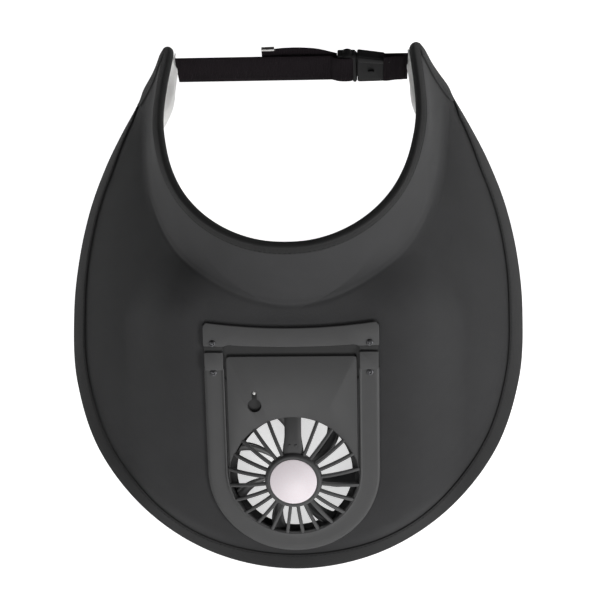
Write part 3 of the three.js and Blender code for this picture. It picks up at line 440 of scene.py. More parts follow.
class MeshPlan:
    """Collects closed bodies and writes them as one mesh object in metres."""

    def __init__(self):
        self.points, self.quads, self.ngons, self.uvs = [], [], [], []
        self.count = 0

    def add(self, points, quads, uvs, ngons=()):
        self.points.append(points)
        self.quads.append(quads + self.count)
        self.ngons += [np.asarray(ngon) + self.count for ngon in ngons]
        self.uvs.append(uvs)
        self.count += len(points)

    def body(self, rings, uv=None, closed=False, place=None):
        points, quads, uvs = swept(rings if place is None else place(rings), uv, closed)
        self.add(points, quads, uvs)

    def slab(self, rings, place=None):
        """A stack of equal outlines with a flat face at each end."""
        rings = rings if place is None else place(rings)
        steps, size = rings.shape[:2]
        grid = np.arange(steps * size).reshape(steps, size)
        nxt = np.roll(grid, -1, axis=1)
        quads = np.stack([grid[:-1], nxt[:-1], nxt[1:], grid[1:]], -1).reshape(-1, 4)
        points = rings.reshape(-1, 3)
        caps = [grid[0][::-1], grid[-1]]
        middle = points.mean(0)
        side = np.einsum("ij,ij->i", np.cross(
            points[quads[:, 1]] - points[quads[:, 0]], points[quads[:, 2]] - points[quads[:, 0]]),
            points[quads[:, 0]] - middle).sum()
        if side < 0:
            quads, caps = quads[:, ::-1], [cap[::-1] for cap in caps]
        self.add(points, quads, np.zeros((len(points), 2)), caps)

    def write(self, name, material, body, slot, replaces=(), smooth_angle=40):
        """One mesh object of all the bodies. Where a body is named, the piece rides on it."""
        points = (np.concatenate(self.points) + SHIFT) / 1000
        quads = np.concatenate(self.quads)
        sizes = np.concatenate([np.full(len(quads), 4), [len(ngon) for ngon in self.ngons]]).astype(np.int32)
        corners = np.concatenate([quads.ravel(), *self.ngons]).astype(np.int32)
        mesh = bpy.data.meshes.new(name)
        mesh.vertices.add(len(points))
        mesh.vertices.foreach_set("co", points.astype(np.float32).ravel())
        mesh.loops.add(len(corners))
        mesh.loops.foreach_set("vertex_index", corners)
        mesh.polygons.add(len(sizes))
        starts = np.concatenate([[0], np.cumsum(sizes)[:-1]]).astype(np.int32)
        mesh.polygons.foreach_set("loop_start", starts)
        layer = mesh.uv_layers.new(name="weave")
        uvs = np.concatenate(self.uvs)[corners].astype(np.float32)
        layer.data.foreach_set("uv", uvs.ravel())
        mesh.update(calc_edges=True)
        mesh.validate()
        mesh.shade_smooth()
        mesh.set_sharp_from_angle(angle=math.radians(smooth_angle))
        piece = bpy.data.objects.new(name, mesh)
        bpy.context.scene.collection.objects.link(piece)
        mesh.materials.append(material)
        if body:
            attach(piece, body)
        if replaces:
            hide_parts(*replaces)
        return piece


# Shader nodes


class Wire:
    """A socket used as a number: each operator adds its Math node and gives that node's output."""

    def __init__(self, shader, socket):
        self.shader, self.socket = shader, socket

    def maths(self, operation, first, second):
        return self.shader.maths(operation, first, second)

    def __add__(self, other):
        return self.maths("ADD", self, other)

    def __sub__(self, other):
        return self.maths("SUBTRACT", self, other)

    def __mul__(self, other):
        return self.maths("MULTIPLY", self, other)

    def __truediv__(self, other):
        return self.maths("DIVIDE", self, other)

    def __radd__(self, other):
        return self.maths("ADD", other, self)

    def __rsub__(self, other):
        return self.maths("SUBTRACT", other, self)

    def __rmul__(self, other):
        return self.maths("MULTIPLY", other, self)


class Shader:
    """A material's node tree, its Principled shader and the calls that add nodes to it."""

    def __init__(self, name, roughness, sheen=0.0, metallic=0.0, coat=0.0, specular=0.5):
        self.material = bpy.data.materials.new(name)
        self.material.use_nodes = True
        self.tree = self.material.node_tree
        self.surface = self.tree.nodes["Principled BSDF"]
        self.surface.inputs["Roughness"].default_value = roughness
        self.surface.inputs["Metallic"].default_value = metallic
        self.surface.inputs["Specular IOR Level"].default_value = specular
        self.surface.inputs["Coat Weight"].default_value = coat
        self.surface.inputs["Coat Roughness"].default_value = 0.3
        self.surface.inputs["Sheen Weight"].default_value = sheen
        self.surface.inputs["Sheen Roughness"].default_value = 0.6

    def node(self, kind, settings=None, inputs=None, output=0):
        """Adds a node: settings first, with a ramp's stops as position and grey or colour."""
        node = self.tree.nodes.new(kind)
        for name, value in (settings or {}).items():
            if name == "stops":
                while len(node.color_ramp.elements) < len(value):
                    node.color_ramp.elements.new(0.5)
                for element, (position, colour) in zip(node.color_ramp.elements, value):
                    element.position = position
                    element.color = colour if len(colour) == 4 else (*colour, 1)
            else:
                setattr(node, name, value)
        for name, value in (inputs or {}).items():
            if isinstance(value, Wire):
                self.tree.links.new(value.socket, node.inputs[name])
            else:
                node.inputs[name].default_value = value
        return Wire(self, node.outputs[output])

    def link(self, wire, name):
        self.tree.links.new(wire.socket, self.surface.inputs[name])

    def maths(self, operation, *values):
        """A Math node on one value or two."""
        return self.node("ShaderNodeMath", {"operation": operation}, dict(enumerate(values)))

    def sine(self, wire):
        return self.maths("SINE", wire)

    def size(self, wire):
        return self.maths("ABSOLUTE", wire)

    def larger(self, first, second):
        return self.maths("MAXIMUM", first, second)

    def weave_places(self):
        """The two weave coordinates of a surface, in millimetres along and across the cloth."""
        uv = self.node("ShaderNodeUVMap", {"uv_map": "weave"})
        split = self.tree.nodes.new("ShaderNodeSeparateXYZ")
        self.tree.links.new(uv.socket, split.inputs[0])
        return Wire(self, split.outputs[0]), Wire(self, split.outputs[1])

    def object_place(self):
        """Object coordinates, in metres."""
        return self.node("ShaderNodeTexCoord", output=3)

    def noise(self, scale, detail, roughness=0.55):
        """Noise about one half, with so many lumps to a metre."""
        inputs = {"Vector": self.object_place(), "Scale": scale, "Detail": detail, "Roughness": roughness}
        return self.node("ShaderNodeTexNoise", None, inputs)

    def shade(self, colour, factor):
        """A colour times a grey factor."""
        grey = self.node("ShaderNodeCombineColor", None, {0: factor, 1: factor, 2: factor})
        return self.node("ShaderNodeVectorMath", {"operation": "MULTIPLY"}, {0: grey, 1: colour[:3]})

    def bump(self, height, distance):
        """A Bump node on the shader's normal, with its height in metres."""
        inputs = {"Height": height, "Distance": distance, "Strength": 1.0}
        self.link(self.node("ShaderNodeBump", None, inputs), "Normal")


def woven(name, colour, pitch, depth, roughness, sheen, mottle, fuzz=0.35):
    """Plain weave: two sets of round threads, each the size of a sine of its place over the pitch,
    where the product of the two sines says which thread lies on top. Noise mottles the colour, and the colour
    is lighter where the threads stand high: painted shade in the gaps between them."""
    shader = Shader(name, roughness, sheen=sheen, specular=0.25)
    along, across = shader.weave_places()
    warp = shader.sine(along * (math.pi / pitch))
    weft = shader.sine(across * (math.pi / pitch))
    turn = warp * weft * 0.5
    threads = shader.larger(shader.size(warp) * (0.5 + turn), shader.size(weft) * (0.5 - turn))
    patches = shader.noise(38, 4)
    lint = shader.noise(2600, 2)
    height = threads + lint * fuzz
    # threads * 0.35 lightens the thread tops and darkens the gaps: painted shade between threads.
    factor = (1 - mottle) + patches * mottle + threads * 0.35 + lint * 0.25 - 0.2
    shader.link(shader.shade(colour, factor), "Base Color")
    shader.bump(height, depth)
    return shader.material


def ribbed(name, colour, pitch, depth, roughness, mottle=0.3, specular=0.2, sheen=0.1):
    """Ribbed tape: ridges across its length, each the size of a sine of the place along it. The colour is
    lighter on the ridges: painted shade between them.
    """
    shader = Shader(name, roughness, sheen=sheen, specular=specular)
    along, across = shader.weave_places()
    ribs = shader.size(shader.sine(along * (math.pi / pitch)))
    threads = shader.size(shader.sine(across * (math.pi / (0.6 * pitch))))
    lint = shader.noise(2200, 2)
    patches = shader.noise(45, 3)
    # ribs * 0.3 lightens the ridge tops and darkens the hollows: painted shade between ribs.
    factor = (0.75 - mottle / 2) + patches * mottle + ribs * 0.3 + lint * 0.25
    shader.link(shader.shade(colour, factor), "Base Color")
    shader.bump(ribs * 0.8 + threads * 0.25 + lint * 0.3, depth)
    return shader.material


def moulded(name, colour, roughness, grain, depth, coat=0.0, mottle=0.15, specular=0.45):
    """Moulded plastic: fine grain in its height, slow noise in its colour and roughness."""
    shader = Shader(name, roughness, coat=coat, specular=specular)
    fine = shader.noise(grain, 3)
    slow = shader.noise(22, 4)
    marks = shader.noise(140, 5, 0.7)
    shader.link(shader.shade(colour, (1 - mottle) + slow * mottle + fine * 0.12), "Base Color")
    shader.link(roughness - 0.08 + marks * 0.16, "Roughness")
    shader.bump(fine + slow * 0.4, depth)
    return shader.material


def plain_metal(name, colour, roughness):
    """Metal: fine noise varies its colour, roughness and height."""
    shader = Shader(name, roughness, metallic=1.0)
    lines = shader.noise(900, 3)
    shader.link(shader.shade(colour, 0.85 + lines * 0.3), "Base Color")
    shader.link(roughness - 0.1 + lines * 0.2, "Roughness")
    shader.bump(lines, 0.00003)
    return shader.material


def setting(name):
    """One of the scene's settings for the hat."""
    return getattr(bpy.context.scene.fan_hat, name)


def painted_light_copy(name, factor):
    """A colour setting times a factor: a copy with painted light when the factor is above one and painted
    shade when it is below.
    """
    return tuple(factor * part for part in setting(name))


def finish(name):
    """A material by its name, made once and shared by its pieces."""
    if name in bpy.data.materials:
        return bpy.data.materials[name]
    makers = {
        "hat cloth": lambda: woven(name, setting("cloth_colour"), 0.6, 0.00016, 0.92, 0.06, 0.3),
        "hat tape": lambda: ribbed(name, setting("tape_colour"), 0.75, 0.00022, 0.88),
        # The brim tape is the tape colour times 1.7: painted light, while the same tape on the opening keeps
        # the plain colour.
        "brim tape": lambda: ribbed(name, painted_light_copy("tape_colour", 1.7), 0.75, 0.00022, 0.88),
        "hat thread": lambda: ribbed(name, setting("thread_colour"), 0.4, 0.00005, 0.8),
        "hat lining": lambda: woven(name, setting("lining_colour"), 0.5, 0.0001, 0.9, 0.3, 0.06, 0.5),
        "hat webbing": lambda: ribbed(name, setting("webbing_colour"), 1.1, 0.0003, 0.85, 0.2, 0.06, 0.0),
        # Module plastic at 0.4 times its colour: painted shade for the recess, the duct's lip and ledge, the
        # pads by the lugs and the battery block.
        "back plastic": lambda: moulded(name, painted_light_copy("plastic_colour", 0.4), 0.6, 3800, 0.00003),
        "module plastic": lambda: moulded(name, setting("plastic_colour"), 0.56, 3800, 0.00003),
        "buckle plastic": lambda: moulded(name, setting("buckle_colour"), 0.5, 3000, 0.00002, specular=0.12),
        # Near-black plastic: painted shade at the bottom of the keyhole.
        "dark hollow": lambda: moulded(name, (0.003, 0.003, 0.003), 0.7, 1500, 0.00001, specular=0.05),
        "rotor plastic": lambda: moulded(name, setting("rotor_colour"), 0.36, 1500, 0.00001, 0.15),
        "screw metal": lambda: plain_metal(name, (0.11, 0.11, 0.115), 0.42),
        "tail metal": lambda: plain_metal(name, (0.62, 0.61, 0.6), 0.3),
        "label film": lambda: moulded(name, setting("label_colour"), 0.5, 900, 0.00001, 0.2, 0.03),
        "lamp lens": lambda: moulded(name, (0.9, 0.9, 0.88), 0.2, 500, 0.00001, 0.6, 0.02),
    }
    return makers[name]()


def length_setting(name, description, default):
    """A size in millimetres."""
    return bpy.props.FloatProperty(name=name, description=description, default=default)


def colour_setting(name, description, default):
    """A colour as three shares of light."""
    return bpy.props.FloatVectorProperty(name=name, description=description, subtype="COLOR", default=default)


class FanHatSettings(bpy.types.PropertyGroup):
    """Sizes and colours that a user of the hat would change."""

    tape_width: length_setting("Brim tape", "Width of the tape on the brim, in millimetres", 9.2)
    crown_tape_width: length_setting("Opening tape", "Width of the tape on the opening, in millimetres", 5.8)
    stitch_pitch: length_setting("Stitch pitch", "From one stitch to the next, in millimetres", 3.0)
    edge_round: length_setting("Plastic edge", "Rounding of the plastic edges, in millimetres", 0.45)
    cloth_colour: colour_setting(
        "Cloth", "Colour of brim and band", (0.05, 0.05, 0.0515))
    tape_colour: colour_setting(
        "Tape", "Colour of the edge tapes", (0.018, 0.018, 0.0183))
    thread_colour: colour_setting(
        "Thread", "Colour of the stitches", (0.022, 0.022, 0.023))
    lining_colour: colour_setting(
        "Lining", "Colour of the lining", (0.93, 0.925, 0.91))
    webbing_colour: colour_setting(
        "Webbing", "Colour of the strap", (0.013, 0.01, 0.012))
    plastic_colour: colour_setting(
        "Module plastic", "Colour of the fan module", (0.068, 0.068, 0.069))
    buckle_colour: colour_setting(
        "Buckle plastic", "Colour of the buckle", (0.013, 0.013, 0.0135))
    rotor_colour: colour_setting(
        "Rotor plastic", "Colour of the blades", (0.032, 0.032, 0.033))
    label_colour: colour_setting(
        "Label", "Colour of the bare label", (0.96, 0.88, 0.92))


def spaced(*knots):
    """Grid places from (start, stop, count) stretches, each joined to the next."""
    parts = [np.linspace(a, b, n, endpoint=False) for a, b, n in knots]
    return np.concatenate([*parts, [knots[-1][1]]])


def hole_sides(points):
    """Signed distance to the cut in the cloth for the housing, and the nearest point on it, in the
    module's plane: straight sides, a straight top and a round lower end."""
    x = points[..., 0]
    y = FAN_DOWN + points[..., 1] / math.cos(SLOPE)
    half, top = WINDOW_HALF + SHELL_CLEARANCE, HOUSING_TOP + RECESS_LENGTH + SHELL_CLEARANCE / 2
    round_gap = np.hypot(x, y) - half
    side_gap, top_gap = np.abs(x) - half, y - top
    gap = np.where(y < 0, round_gap, np.maximum(side_gap, top_gap))
    scale = half / np.maximum(np.hypot(x, y), 1e-6)
    by_side = (side_gap > top_gap) & (y >= 0)
    near_x = np.where(y < 0, x * scale, np.where(by_side, np.sign(x) * half, x))
    near_y = np.where(y < 0, y * scale, np.where(by_side, y, top))
    near = np.stack([near_x, (near_y - FAN_DOWN) * math.cos(SLOPE)], -1)
    return gap, near


class FANHAT_OT_cloth(bpy.types.Operator):
    """Make the brim and band as one cloth sheet with the housing's cut in it"""

    bl_idname = "fan_hat.cloth"
    bl_label = "Brim and band"

    def execute(self, context):
        across = spaced((0, 0.08, 5), (0.08, 1, 52), (1, 2, 30), (2, 2.8, 22), (2.8, 3, 12))
        share = np.linspace(-1, 1, 361)
        around = share[:, None] * round_limit(across)[None, :]
        places = np.broadcast_to(across, around.shape)
        middle = sheet(around, places)
        normal = sheet_slopes(around, places)[2]
        gap, near = hole_sides(middle)
        on_brim = places <= 1
        inside = (gap < 0) & on_brim
        open_cell = inside[:-1, :-1] & inside[1:, :-1] & inside[1:, 1:] & inside[:-1, 1:]
        touch = np.zeros_like(inside)
        for shift in ((slice(None, -1), slice(None, -1)), (slice(1, None), slice(None, -1)),
                      (slice(1, None), slice(1, None)), (slice(None, -1), slice(1, None))):
            touch[shift] |= ~open_cell
        rim = touch & inside
        middle[..., :2] = np.where(rim[..., None], near, middle[..., :2])
        middle[..., 2] = np.where(
            rim, CREASE_HEIGHT + middle[..., 1] * math.tan(SLOPE), middle[..., 2])
        half = SHEET / 2
        groove = GROOVE_DEPTH * np.exp(-((places - GROOVE_PLACE) / GROOVE_SPREAD) ** 2)
        groove = groove * (1 - fade(np.abs(around), *GROOVE_RANGE))
        groove = groove * (1 - GROOVE_EASE * fade(around, *GROOVE_EASE_RANGE))
        points = np.stack([middle + normal * (half - groove)[..., None], middle - normal * half])
        rows, columns = inside.shape
        grid = np.arange(rows * columns).reshape(rows, columns)
        cells = np.stack([grid[:-1, :-1], grid[1:, :-1], grid[1:, 1:], grid[:-1, 1:]], -1)
        kept = cells[~open_cell]
        under = kept[:, ::-1] + rows * columns
        sides = np.concatenate([kept[:, [k, (k + 1) % 4]] for k in range(4)])
        code = sides[:, 0] * grid.size + sides[:, 1]
        back = sides[:, 1] * grid.size + sides[:, 0]
        border = sides[~np.isin(code, back)]
        ends = border[:, 1], border[:, 0]
        walls = np.stack([*ends, ends[1] + grid.size, ends[0] + grid.size], -1)
        length = np.linalg.norm(np.diff(middle, axis=0), axis=-1)
        half_way = np.concatenate([np.zeros((1, columns)), np.cumsum(length, 0)])
        half_way -= half_way[rows // 2]
        height = np.concatenate([np.zeros((rows, 1)), np.cumsum(np.linalg.norm(
            np.diff(middle, axis=1), axis=-1), 1)], 1)[rows // 3]
        uv = np.stack([half_way, np.broadcast_to(height, half_way.shape)], -1).reshape(-1, 2)
        quads = np.concatenate([kept, under, walls])
        used = np.unique(quads)
        renumber = np.full(points.reshape(-1, 3).shape[0], -1)
        renumber[used] = np.arange(len(used))
        plan = MeshPlan()
        plan.add(points.reshape(-1, 3)[used], renumber[quads], np.concatenate([uv, uv])[used])
        plan.write("brim_cloth", finish("hat cloth"), "visor", "cloth", ["visor_shell"], 50)
        return {"FINISHED"}


def edge_path(kind):
    """Places along the sheet's edge, with the tape's width at each: the brim's front and rear
    edges up to the wing tips, or the crown's edge between them."""
    settings = bpy.context.scene.fan_hat
    narrow = settings.crown_tape_width
    if kind == "brim":
        share = np.linspace(-1, 1, 561)
        front = share * round_limit(0), np.zeros_like(share)
        rear = spaced((0.004, 0.2, 14), (0.2, 1, 12), (1, 2, 8), (2, 2.88, 34))
        width = settings.tape_width + (narrow - settings.tape_width) * fade(np.abs(share), *NARROW_RANGE)
        wide = SIDE_WIDENING * fade(np.abs(share), *WIDEN_RANGE)
        width = width + wide * (1 - fade(np.abs(share), *WIDEN_END_RANGE))
        limit = round_limit(rear)
        around = np.concatenate([-limit[::-1], front[0], limit])
        across = np.concatenate([rear[::-1], front[1], rear])
        widths = np.concatenate([np.full(len(rear), narrow), width, np.full(len(rear), narrow)])
    else:
        share = np.linspace(1, -1, 341)
        tip = spaced((2.875, 2.93, 4), (2.93, 2.999, 18))
        limit = round_limit(tip)
        around = np.concatenate([limit, share * round_limit(3), -limit[::-1]])
        across = np.concatenate([tip, np.full(len(share), 3.0), tip[::-1]])
        widths = np.full(len(around), narrow)
    return around, across, widths


def tape_frame(around, across):
    """Edge points, the step into the sheet at each, and the same step in the sheet's own terms,
    from the two by two system of the sheet's directions."""
    edge = sheet(around, across)
    chord = np.gradient(edge, axis=0)
    by_around, by_across, normal = sheet_slopes(around, across)
    kernel = np.hanning(9)[:, None] / np.hanning(9).sum()
    padded = np.concatenate([np.repeat(chord[:1], 4, 0), chord, np.repeat(chord[-1:], 4, 0)])
    smooth = sum(padded[k:k + len(chord)] * kernel[k] for k in range(9))
    inward = -unit(np.cross(unit(smooth), normal))
    aa, ac, cc = (np.einsum("ij,ij->i", p, q) for p, q in (
        (by_around, by_around), (by_around, by_across), (by_across, by_across)))
    on_a = np.einsum("ij,ij->i", inward, by_around)
    on_c = np.einsum("ij,ij->i", inward, by_across)
    size = aa * cc - ac ** 2
    return edge, inward, normal, (on_a * cc - on_c * ac) / size, (on_c * aa - on_a * ac) / size


def tape_place(frame_parts, around, across, depth, height):
    """Points a depth into the sheet's edge and a height off its middle: on the sheet's own curve
    where the depth is positive, straight out from the edge where it is negative."""
    edge, inward, normal, step_a, step_c = frame_parts
    into = np.maximum(depth, 0)
    a = np.clip(around[:, None] + step_a[:, None] * into, -1, 1)
    c = np.clip(across[:, None] + step_c[:, None] * into, 0, 3)
    on = off_sheet(a, c, height)
    out = edge[:, None] + inward[:, None] * depth[..., None] + normal[:, None] * height[..., None]
    return np.where((depth > 0)[..., None], on, out)


def tape_body(kind, lift=0.0):
    """The folded tape: two legs along the sheet's faces joined by half an oval round its edge,
    carried along the edge, with its thickness between an outer and an inner line."""
    around, across, widths = edge_path(kind)
    parts = tape_frame(around, across)
    turn = np.linspace(math.pi / 2, -math.pi / 2, 9)
    legs = np.array([1, 0.985, 0.95, 0.75, 0.5, 0.25, 0.08])

    def line(radius, puff):
        depth = np.concatenate([
            legs[None] * widths[:, None],
            np.broadcast_to(-(radius * 0.62) * np.cos(turn), (len(around), len(turn))),
            legs[None, ::-1] * widths[:, None]], 1)
        thin = np.array([-0.45, -0.15, 0, 0.12, 0.15, 0.1, 0]) * puff
        high = np.concatenate([radius + thin, radius * np.sin(turn), -(radius + thin)[::-1]])
        return depth, np.broadcast_to(high, depth.shape)

    outer = tape_place(parts, around, across, *line(TAPE_OUT + lift, 1.0))
    inner = tape_place(parts, around, across, *line(TAPE_IN, 0.0))
    run = run_along(parts[0])
    fold = np.linspace(0, 22, outer.shape[1])
    uv = np.stack(np.broadcast_arrays(run[:, None], np.concatenate([fold, fold[::-1]])[None]), -1)
    return folded(outer, inner), uv, (around, across, widths, parts)


def stitches(line, normal, pitch, length, radius):
    """Short threads laid along a line: each is a capsule whose centre line sinks at both ends."""
    run = run_along(line)
    count = int(run[-1] / pitch)
    centre = (np.arange(count) + 0.5) * pitch
    t = np.linspace(-1, 1, 7)
    place = centre[:, None] + t * length / 2
    spine = np.stack([np.interp(place, run, line[:, k]) for k in range(3)], -1)
    up = np.stack([np.interp(place, run, normal[:, k]) for k in range(3)], -1)
    spine = spine + up * (radius * (0.55 - 1.2 * t ** 4))[None, :, None]
    along = unit(np.gradient(spine, axis=1))
    side = unit(np.cross(along, up))
    angle = np.arange(6) * math.pi / 3
    girth = radius * np.sqrt(np.maximum(1 - np.abs(t) ** 6, 0.02))
    return spine[:, :, None] + girth[None, :, None, None] * (
        side[:, :, None] * np.cos(angle)[:, None] + up[:, :, None] * np.sin(angle)[:, None])


class FANHAT_OT_tapes(bpy.types.Operator):
    """Make the folded tapes on the brim's and the opening's edges, and their stitches"""

    bl_idname = "fan_hat.tapes"
    bl_label = "Edge tapes"

    def execute(self, context):
        pitch = setting("stitch_pitch")
        seams = MeshPlan()
        # The brim's tape takes a lighter copy of the tape colour: painted light.
        for kind, name, film, lift in (
                ("brim", "brim_tape", "brim tape", 0.0), ("crown", "opening_tape", "hat tape", 0.15)):
            rings, uv, (around, across, widths, parts) = tape_body(kind, lift)
            plan = MeshPlan()
            plan.body(rings, uv)
            plan.write(name, finish(film), "visor", "tape", [f"{kind}_binding"], 50)
            depth = (widths - STITCH_INSET)[:, None]
            for side in (1, -1):
                level = np.full_like(depth, side * (TAPE_OUT + lift + 0.05))
                line = tape_place(parts, around, across, depth, level)[:, 0]
                for ring in stitches(line, parts[2] * side, pitch, pitch * STITCH_SHARE, STITCH_RADIUS):
                    seams.body(ring)
        seams.write("tape_stitches", finish("hat thread"), "visor", "tape")
        return {"FINISHED"}


def lining_places(share, height, depth):
    """The lining at shares of its reach and height: it lies on the band, and is pulled off it near
    the strap by a smooth curve through the pull's rows. Its top edge steps from under the tape to
    the band's own edge at the wings."""
    rows = np.array(LINING_ROWS)
    around = LINING_REACH * share
    span = np.linalg.norm(sheet(around, 2) - sheet(around, 3), axis=-1)
    under_tape = CROWN_TAPE + 2 * TAPE_GAP + GAP
    rise = fade(np.abs(around), *RISE_RANGE)
    across = LINING_LOW + (3 - (under_tape + (GAP - under_tape) * rise) / span - LINING_LOW) * height
    pull = spline(rows, np.interp(height, rows[:, 0], np.linspace(0, 1, len(rows))))[..., 1]
    ripple = 0.25 * np.sin(around * 46 + across * 2.1) * fade(np.abs(around), 0.3, 0.8) * pull
    pad = LINING_PAD * pull * fade(np.abs(around), *PAD_RANGE) + ripple
    around, across, pad = np.broadcast_arrays(around, across, pad)
    return off_sheet(around, across, -SHEET / 2 - GAP - pad - depth), around, across


class FANHAT_OT_lining(bpy.types.Operator):
    """Make the white lining inside the band"""

    bl_idname = "fan_hat.lining"
    bl_label = "Lining"

    def execute(self, context):
        share = np.linspace(-1, 1, 301)[:, None]
        height = spaced((0, 0.1, 5), (0.1, 0.92, 26), (0.92, 1, 5))[None, :]
        outer, wide, across = lining_places(share, height, 0.0)
        inner = lining_places(share, height, LINING)[0]
        uv_one = np.stack([wide * 230, across * 48], -1)
        plan = MeshPlan()
        plan.body(folded(outer, inner), folded(uv_one, uv_one))
        plan.write("lining_cloth", finish("hat lining"), "visor", "lining", ["lining"], 60)
        return {"FINISHED"}


# Strap: a straight run between the lining's two ends

RUN_Y = float(REAR_CROWN[1]) - STRAP_SETBACK
RUN_Z = float(REAR_CROWN[2]) - STRAP_DROP
STRAP_END = float(np.abs(lining_places(
    np.array([[1.0], [1 - 1 / 18]]), np.array(LINING_ROWS)[None, :, 0], LINING)[0][..., 0]).min()) - GAP
STRAP_UP = np.array([0, math.sin(LEAN), math.cos(LEAN)])
STRAP_OUT = np.array([0, math.cos(LEAN), -math.sin(LEAN)])
SLIDER_START = BUCKLE_OFFSET - SLIDER_LENGTH / 2
BUCKLE_START = BUCKLE_OFFSET + SLIDER_LENGTH / 2 + GAP
BUCKLE_END = BUCKLE_START + BUCKLE_LENGTH


def on_strap(x, up=0.0, out=0.0):
    """A point of the strap's straight run: x across, up the webbing and out of its rear face."""
    x, up, out = np.broadcast_arrays(np.asarray(x, float), np.asarray(up, float), np.asarray(out, float))
    base = np.stack([x, np.full_like(x, RUN_Y), np.full_like(x, RUN_Z)], -1)
    return base + up[..., None] * STRAP_UP + out[..., None] * STRAP_OUT


def strap_place(points):
    """Points given as x, up the webbing, and out of its front face, in the strap's directions."""
    return on_strap(points[..., 0], points[..., 1], -points[..., 2])


def smooth_curve(points, t):
    """Centripetal Catmull-Rom curve: each span is a cubic whose end slopes come from the square
    roots of the chords beside it."""
    points = np.array(points, float)
    last = len(points) - 1
    place = np.clip(t, 0, 1) * last
    low = np.minimum(np.floor(place).astype(int), last - 1)
    w = (place - low)[:, None]
    ends = np.concatenate([[2 * points[0] - points[1]], points, [2 * points[-1] - points[-2]]])
    p0, p1, p2, p3 = (ends[low + k] for k in range(4))
    d0, d1, d2 = (np.sqrt(np.linalg.norm(b - a, axis=1, keepdims=True)) for a, b in (
        (p0, p1), (p1, p2), (p2, p3)))
    t1 = ((p1 - p0) / d0 - (p2 - p0) / (d0 + d1) + (p2 - p1) / d1) * d1
    t2 = ((p2 - p1) / d1 - (p3 - p1) / (d1 + d2) + (p3 - p2) / d2) * d1
    c2, c3 = -3 * p1 + 3 * p2 - 2 * t1 - t2, 2 * p1 - 2 * p2 + t1 + t2
    return p1 + t1 * w + c2 * w ** 2 + c3 * w ** 3


def webbing_body(low_points, high_points, steps, slack=0.0):
    """Flat webbing between two edge curves. Its thickness goes with the square root of one less the
    eighth power of the share from its middle, and slack bows its middle by half a sine."""
    t = np.linspace(0, 1, steps)
    low, high = smooth_curve(low_points, t), smooth_curve(high_points, t)
    along = unit(np.gradient((low + high) / 2, axis=0))
    normal = unit(np.cross(along, high - low))
    share = (1 - np.cos(np.linspace(0, math.pi, 15))) / 2
    thick = WEB / 2 * np.maximum(1 - np.abs(2 * share - 1) ** 8, 0) ** 0.5
    bow = slack * np.sin(np.pi * share) * np.sin(np.pi * t)[:, None]
    middle = low[:, None] * (1 - share[:, None]) + high[:, None] * share[:, None]
    middle = middle + normal[:, None] * bow[..., None]
    upper = middle + normal[:, None] * thick[:, None]
    lower = middle - normal[:, None] * thick[:, None]
    run = run_along((low + high) / 2)
    uv = np.stack(np.broadcast_arrays(run[:, None], share[None] * WEB_WIDTH), -1)
    return folded(upper[:, 1:-1], lower[:, 1:-1]), folded(uv[:, 1:-1], uv[:, 1:-1])


class FANHAT_OT_straps(bpy.types.Operator):
    """Make the webbing, its loose tail and the tail's metal tip"""

    bl_idname = "fan_hat.straps"
    bl_label = "Strap"

    def execute(self, context):
        half = WEB_WIDTH / 2
        left = [-STRAP_END - 1.5, -STRAP_END * 0.7, 0, SLIDER_START + 9.6]
        right = [STRAP_END + 1.5, (STRAP_END + BUCKLE_END) / 2, BUCKLE_END - 2.5]
        material = finish("hat webbing")
        plan = MeshPlan()
        plan.body(*webbing_body(on_strap(left, -half), on_strap(left, half), 160, slack=0.5))
        wrap = [(SLIDER_START - 3.5, -0.9), (SLIDER_START + 0.8, -3.6), (SLIDER_START + 4.5, -4.3),
                (SLIDER_START + 8, -3.8), (SLIDER_START + 10, -2.4)]
        low = [on_strap(x, -half + 0.2 - 0.7 * out, out) for x, out in wrap]
        high = [on_strap(x, half - 0.6 - 0.6 * out, out) for x, out in wrap]
        plan.body(*webbing_body(low, high, 40))
        plan.write("strap_left_web", material, "visor", "webbing", ["strap_left"], 60)
        plan = MeshPlan()
        plan.body(*webbing_body(on_strap(right, -half - 0.9), on_strap(right, half + 1.2), 60))
        fold = [(BUCKLE_END - 0.8, -3.3), (BUCKLE_END + 2.5, -3.1), (BUCKLE_END + 7, -2.0),
                (BUCKLE_END + 12, -1.75)]
        low, high = ([on_strap(x, level - 0.5 * out, out) for x, out in fold]
                     for level in (-half + 0.2, half))
        plan.body(*webbing_body(low, high, 30))
        plan.write("strap_right_web", material, "visor", "webbing", ["strap_right"], 60)
        lay = WEB + GAP
        end = SLIDER_START - GAP - TAIL_LENGTH
        route = [(SLIDER_START - GAP, 0, lay), (SLIDER_START - TAIL_LENGTH * 0.3, TAIL_RISE * 0.8, lay + 1),
                 (SLIDER_START - TAIL_LENGTH * 0.7, TAIL_RISE, lay + 1), (end, TAIL_RISE * 0.6, lay + 0.4)]
        low, high = ([on_strap(x, level + up, out) for x, up, out in route] for level in (-half, half))
        plan = MeshPlan()
        plan.body(*webbing_body(low, high, 70))
        plan.write("strap_tail_web", material, "visor", "webbing", ["strap_tail"], 60)
        tip_up = TAIL_RISE * 0.85 + half + GAP
        outline = rounded([(end, tip_up - 0.5), (end + 8.6, tip_up - 0.5),
                           (end + 8.6, tip_up + 1.4), (end, tip_up + 1.1)], 0.5)
        rings = slab_rings(outline, -lay - 1.6, -lay + 0.9, 0.35)
        plan = MeshPlan()
        plan.slab(rings, strap_place)
        plan.write("tail_tip_clip", finish("tail metal"), "visor", "metal", ["tail_tip"])
        return {"FINISHED"}


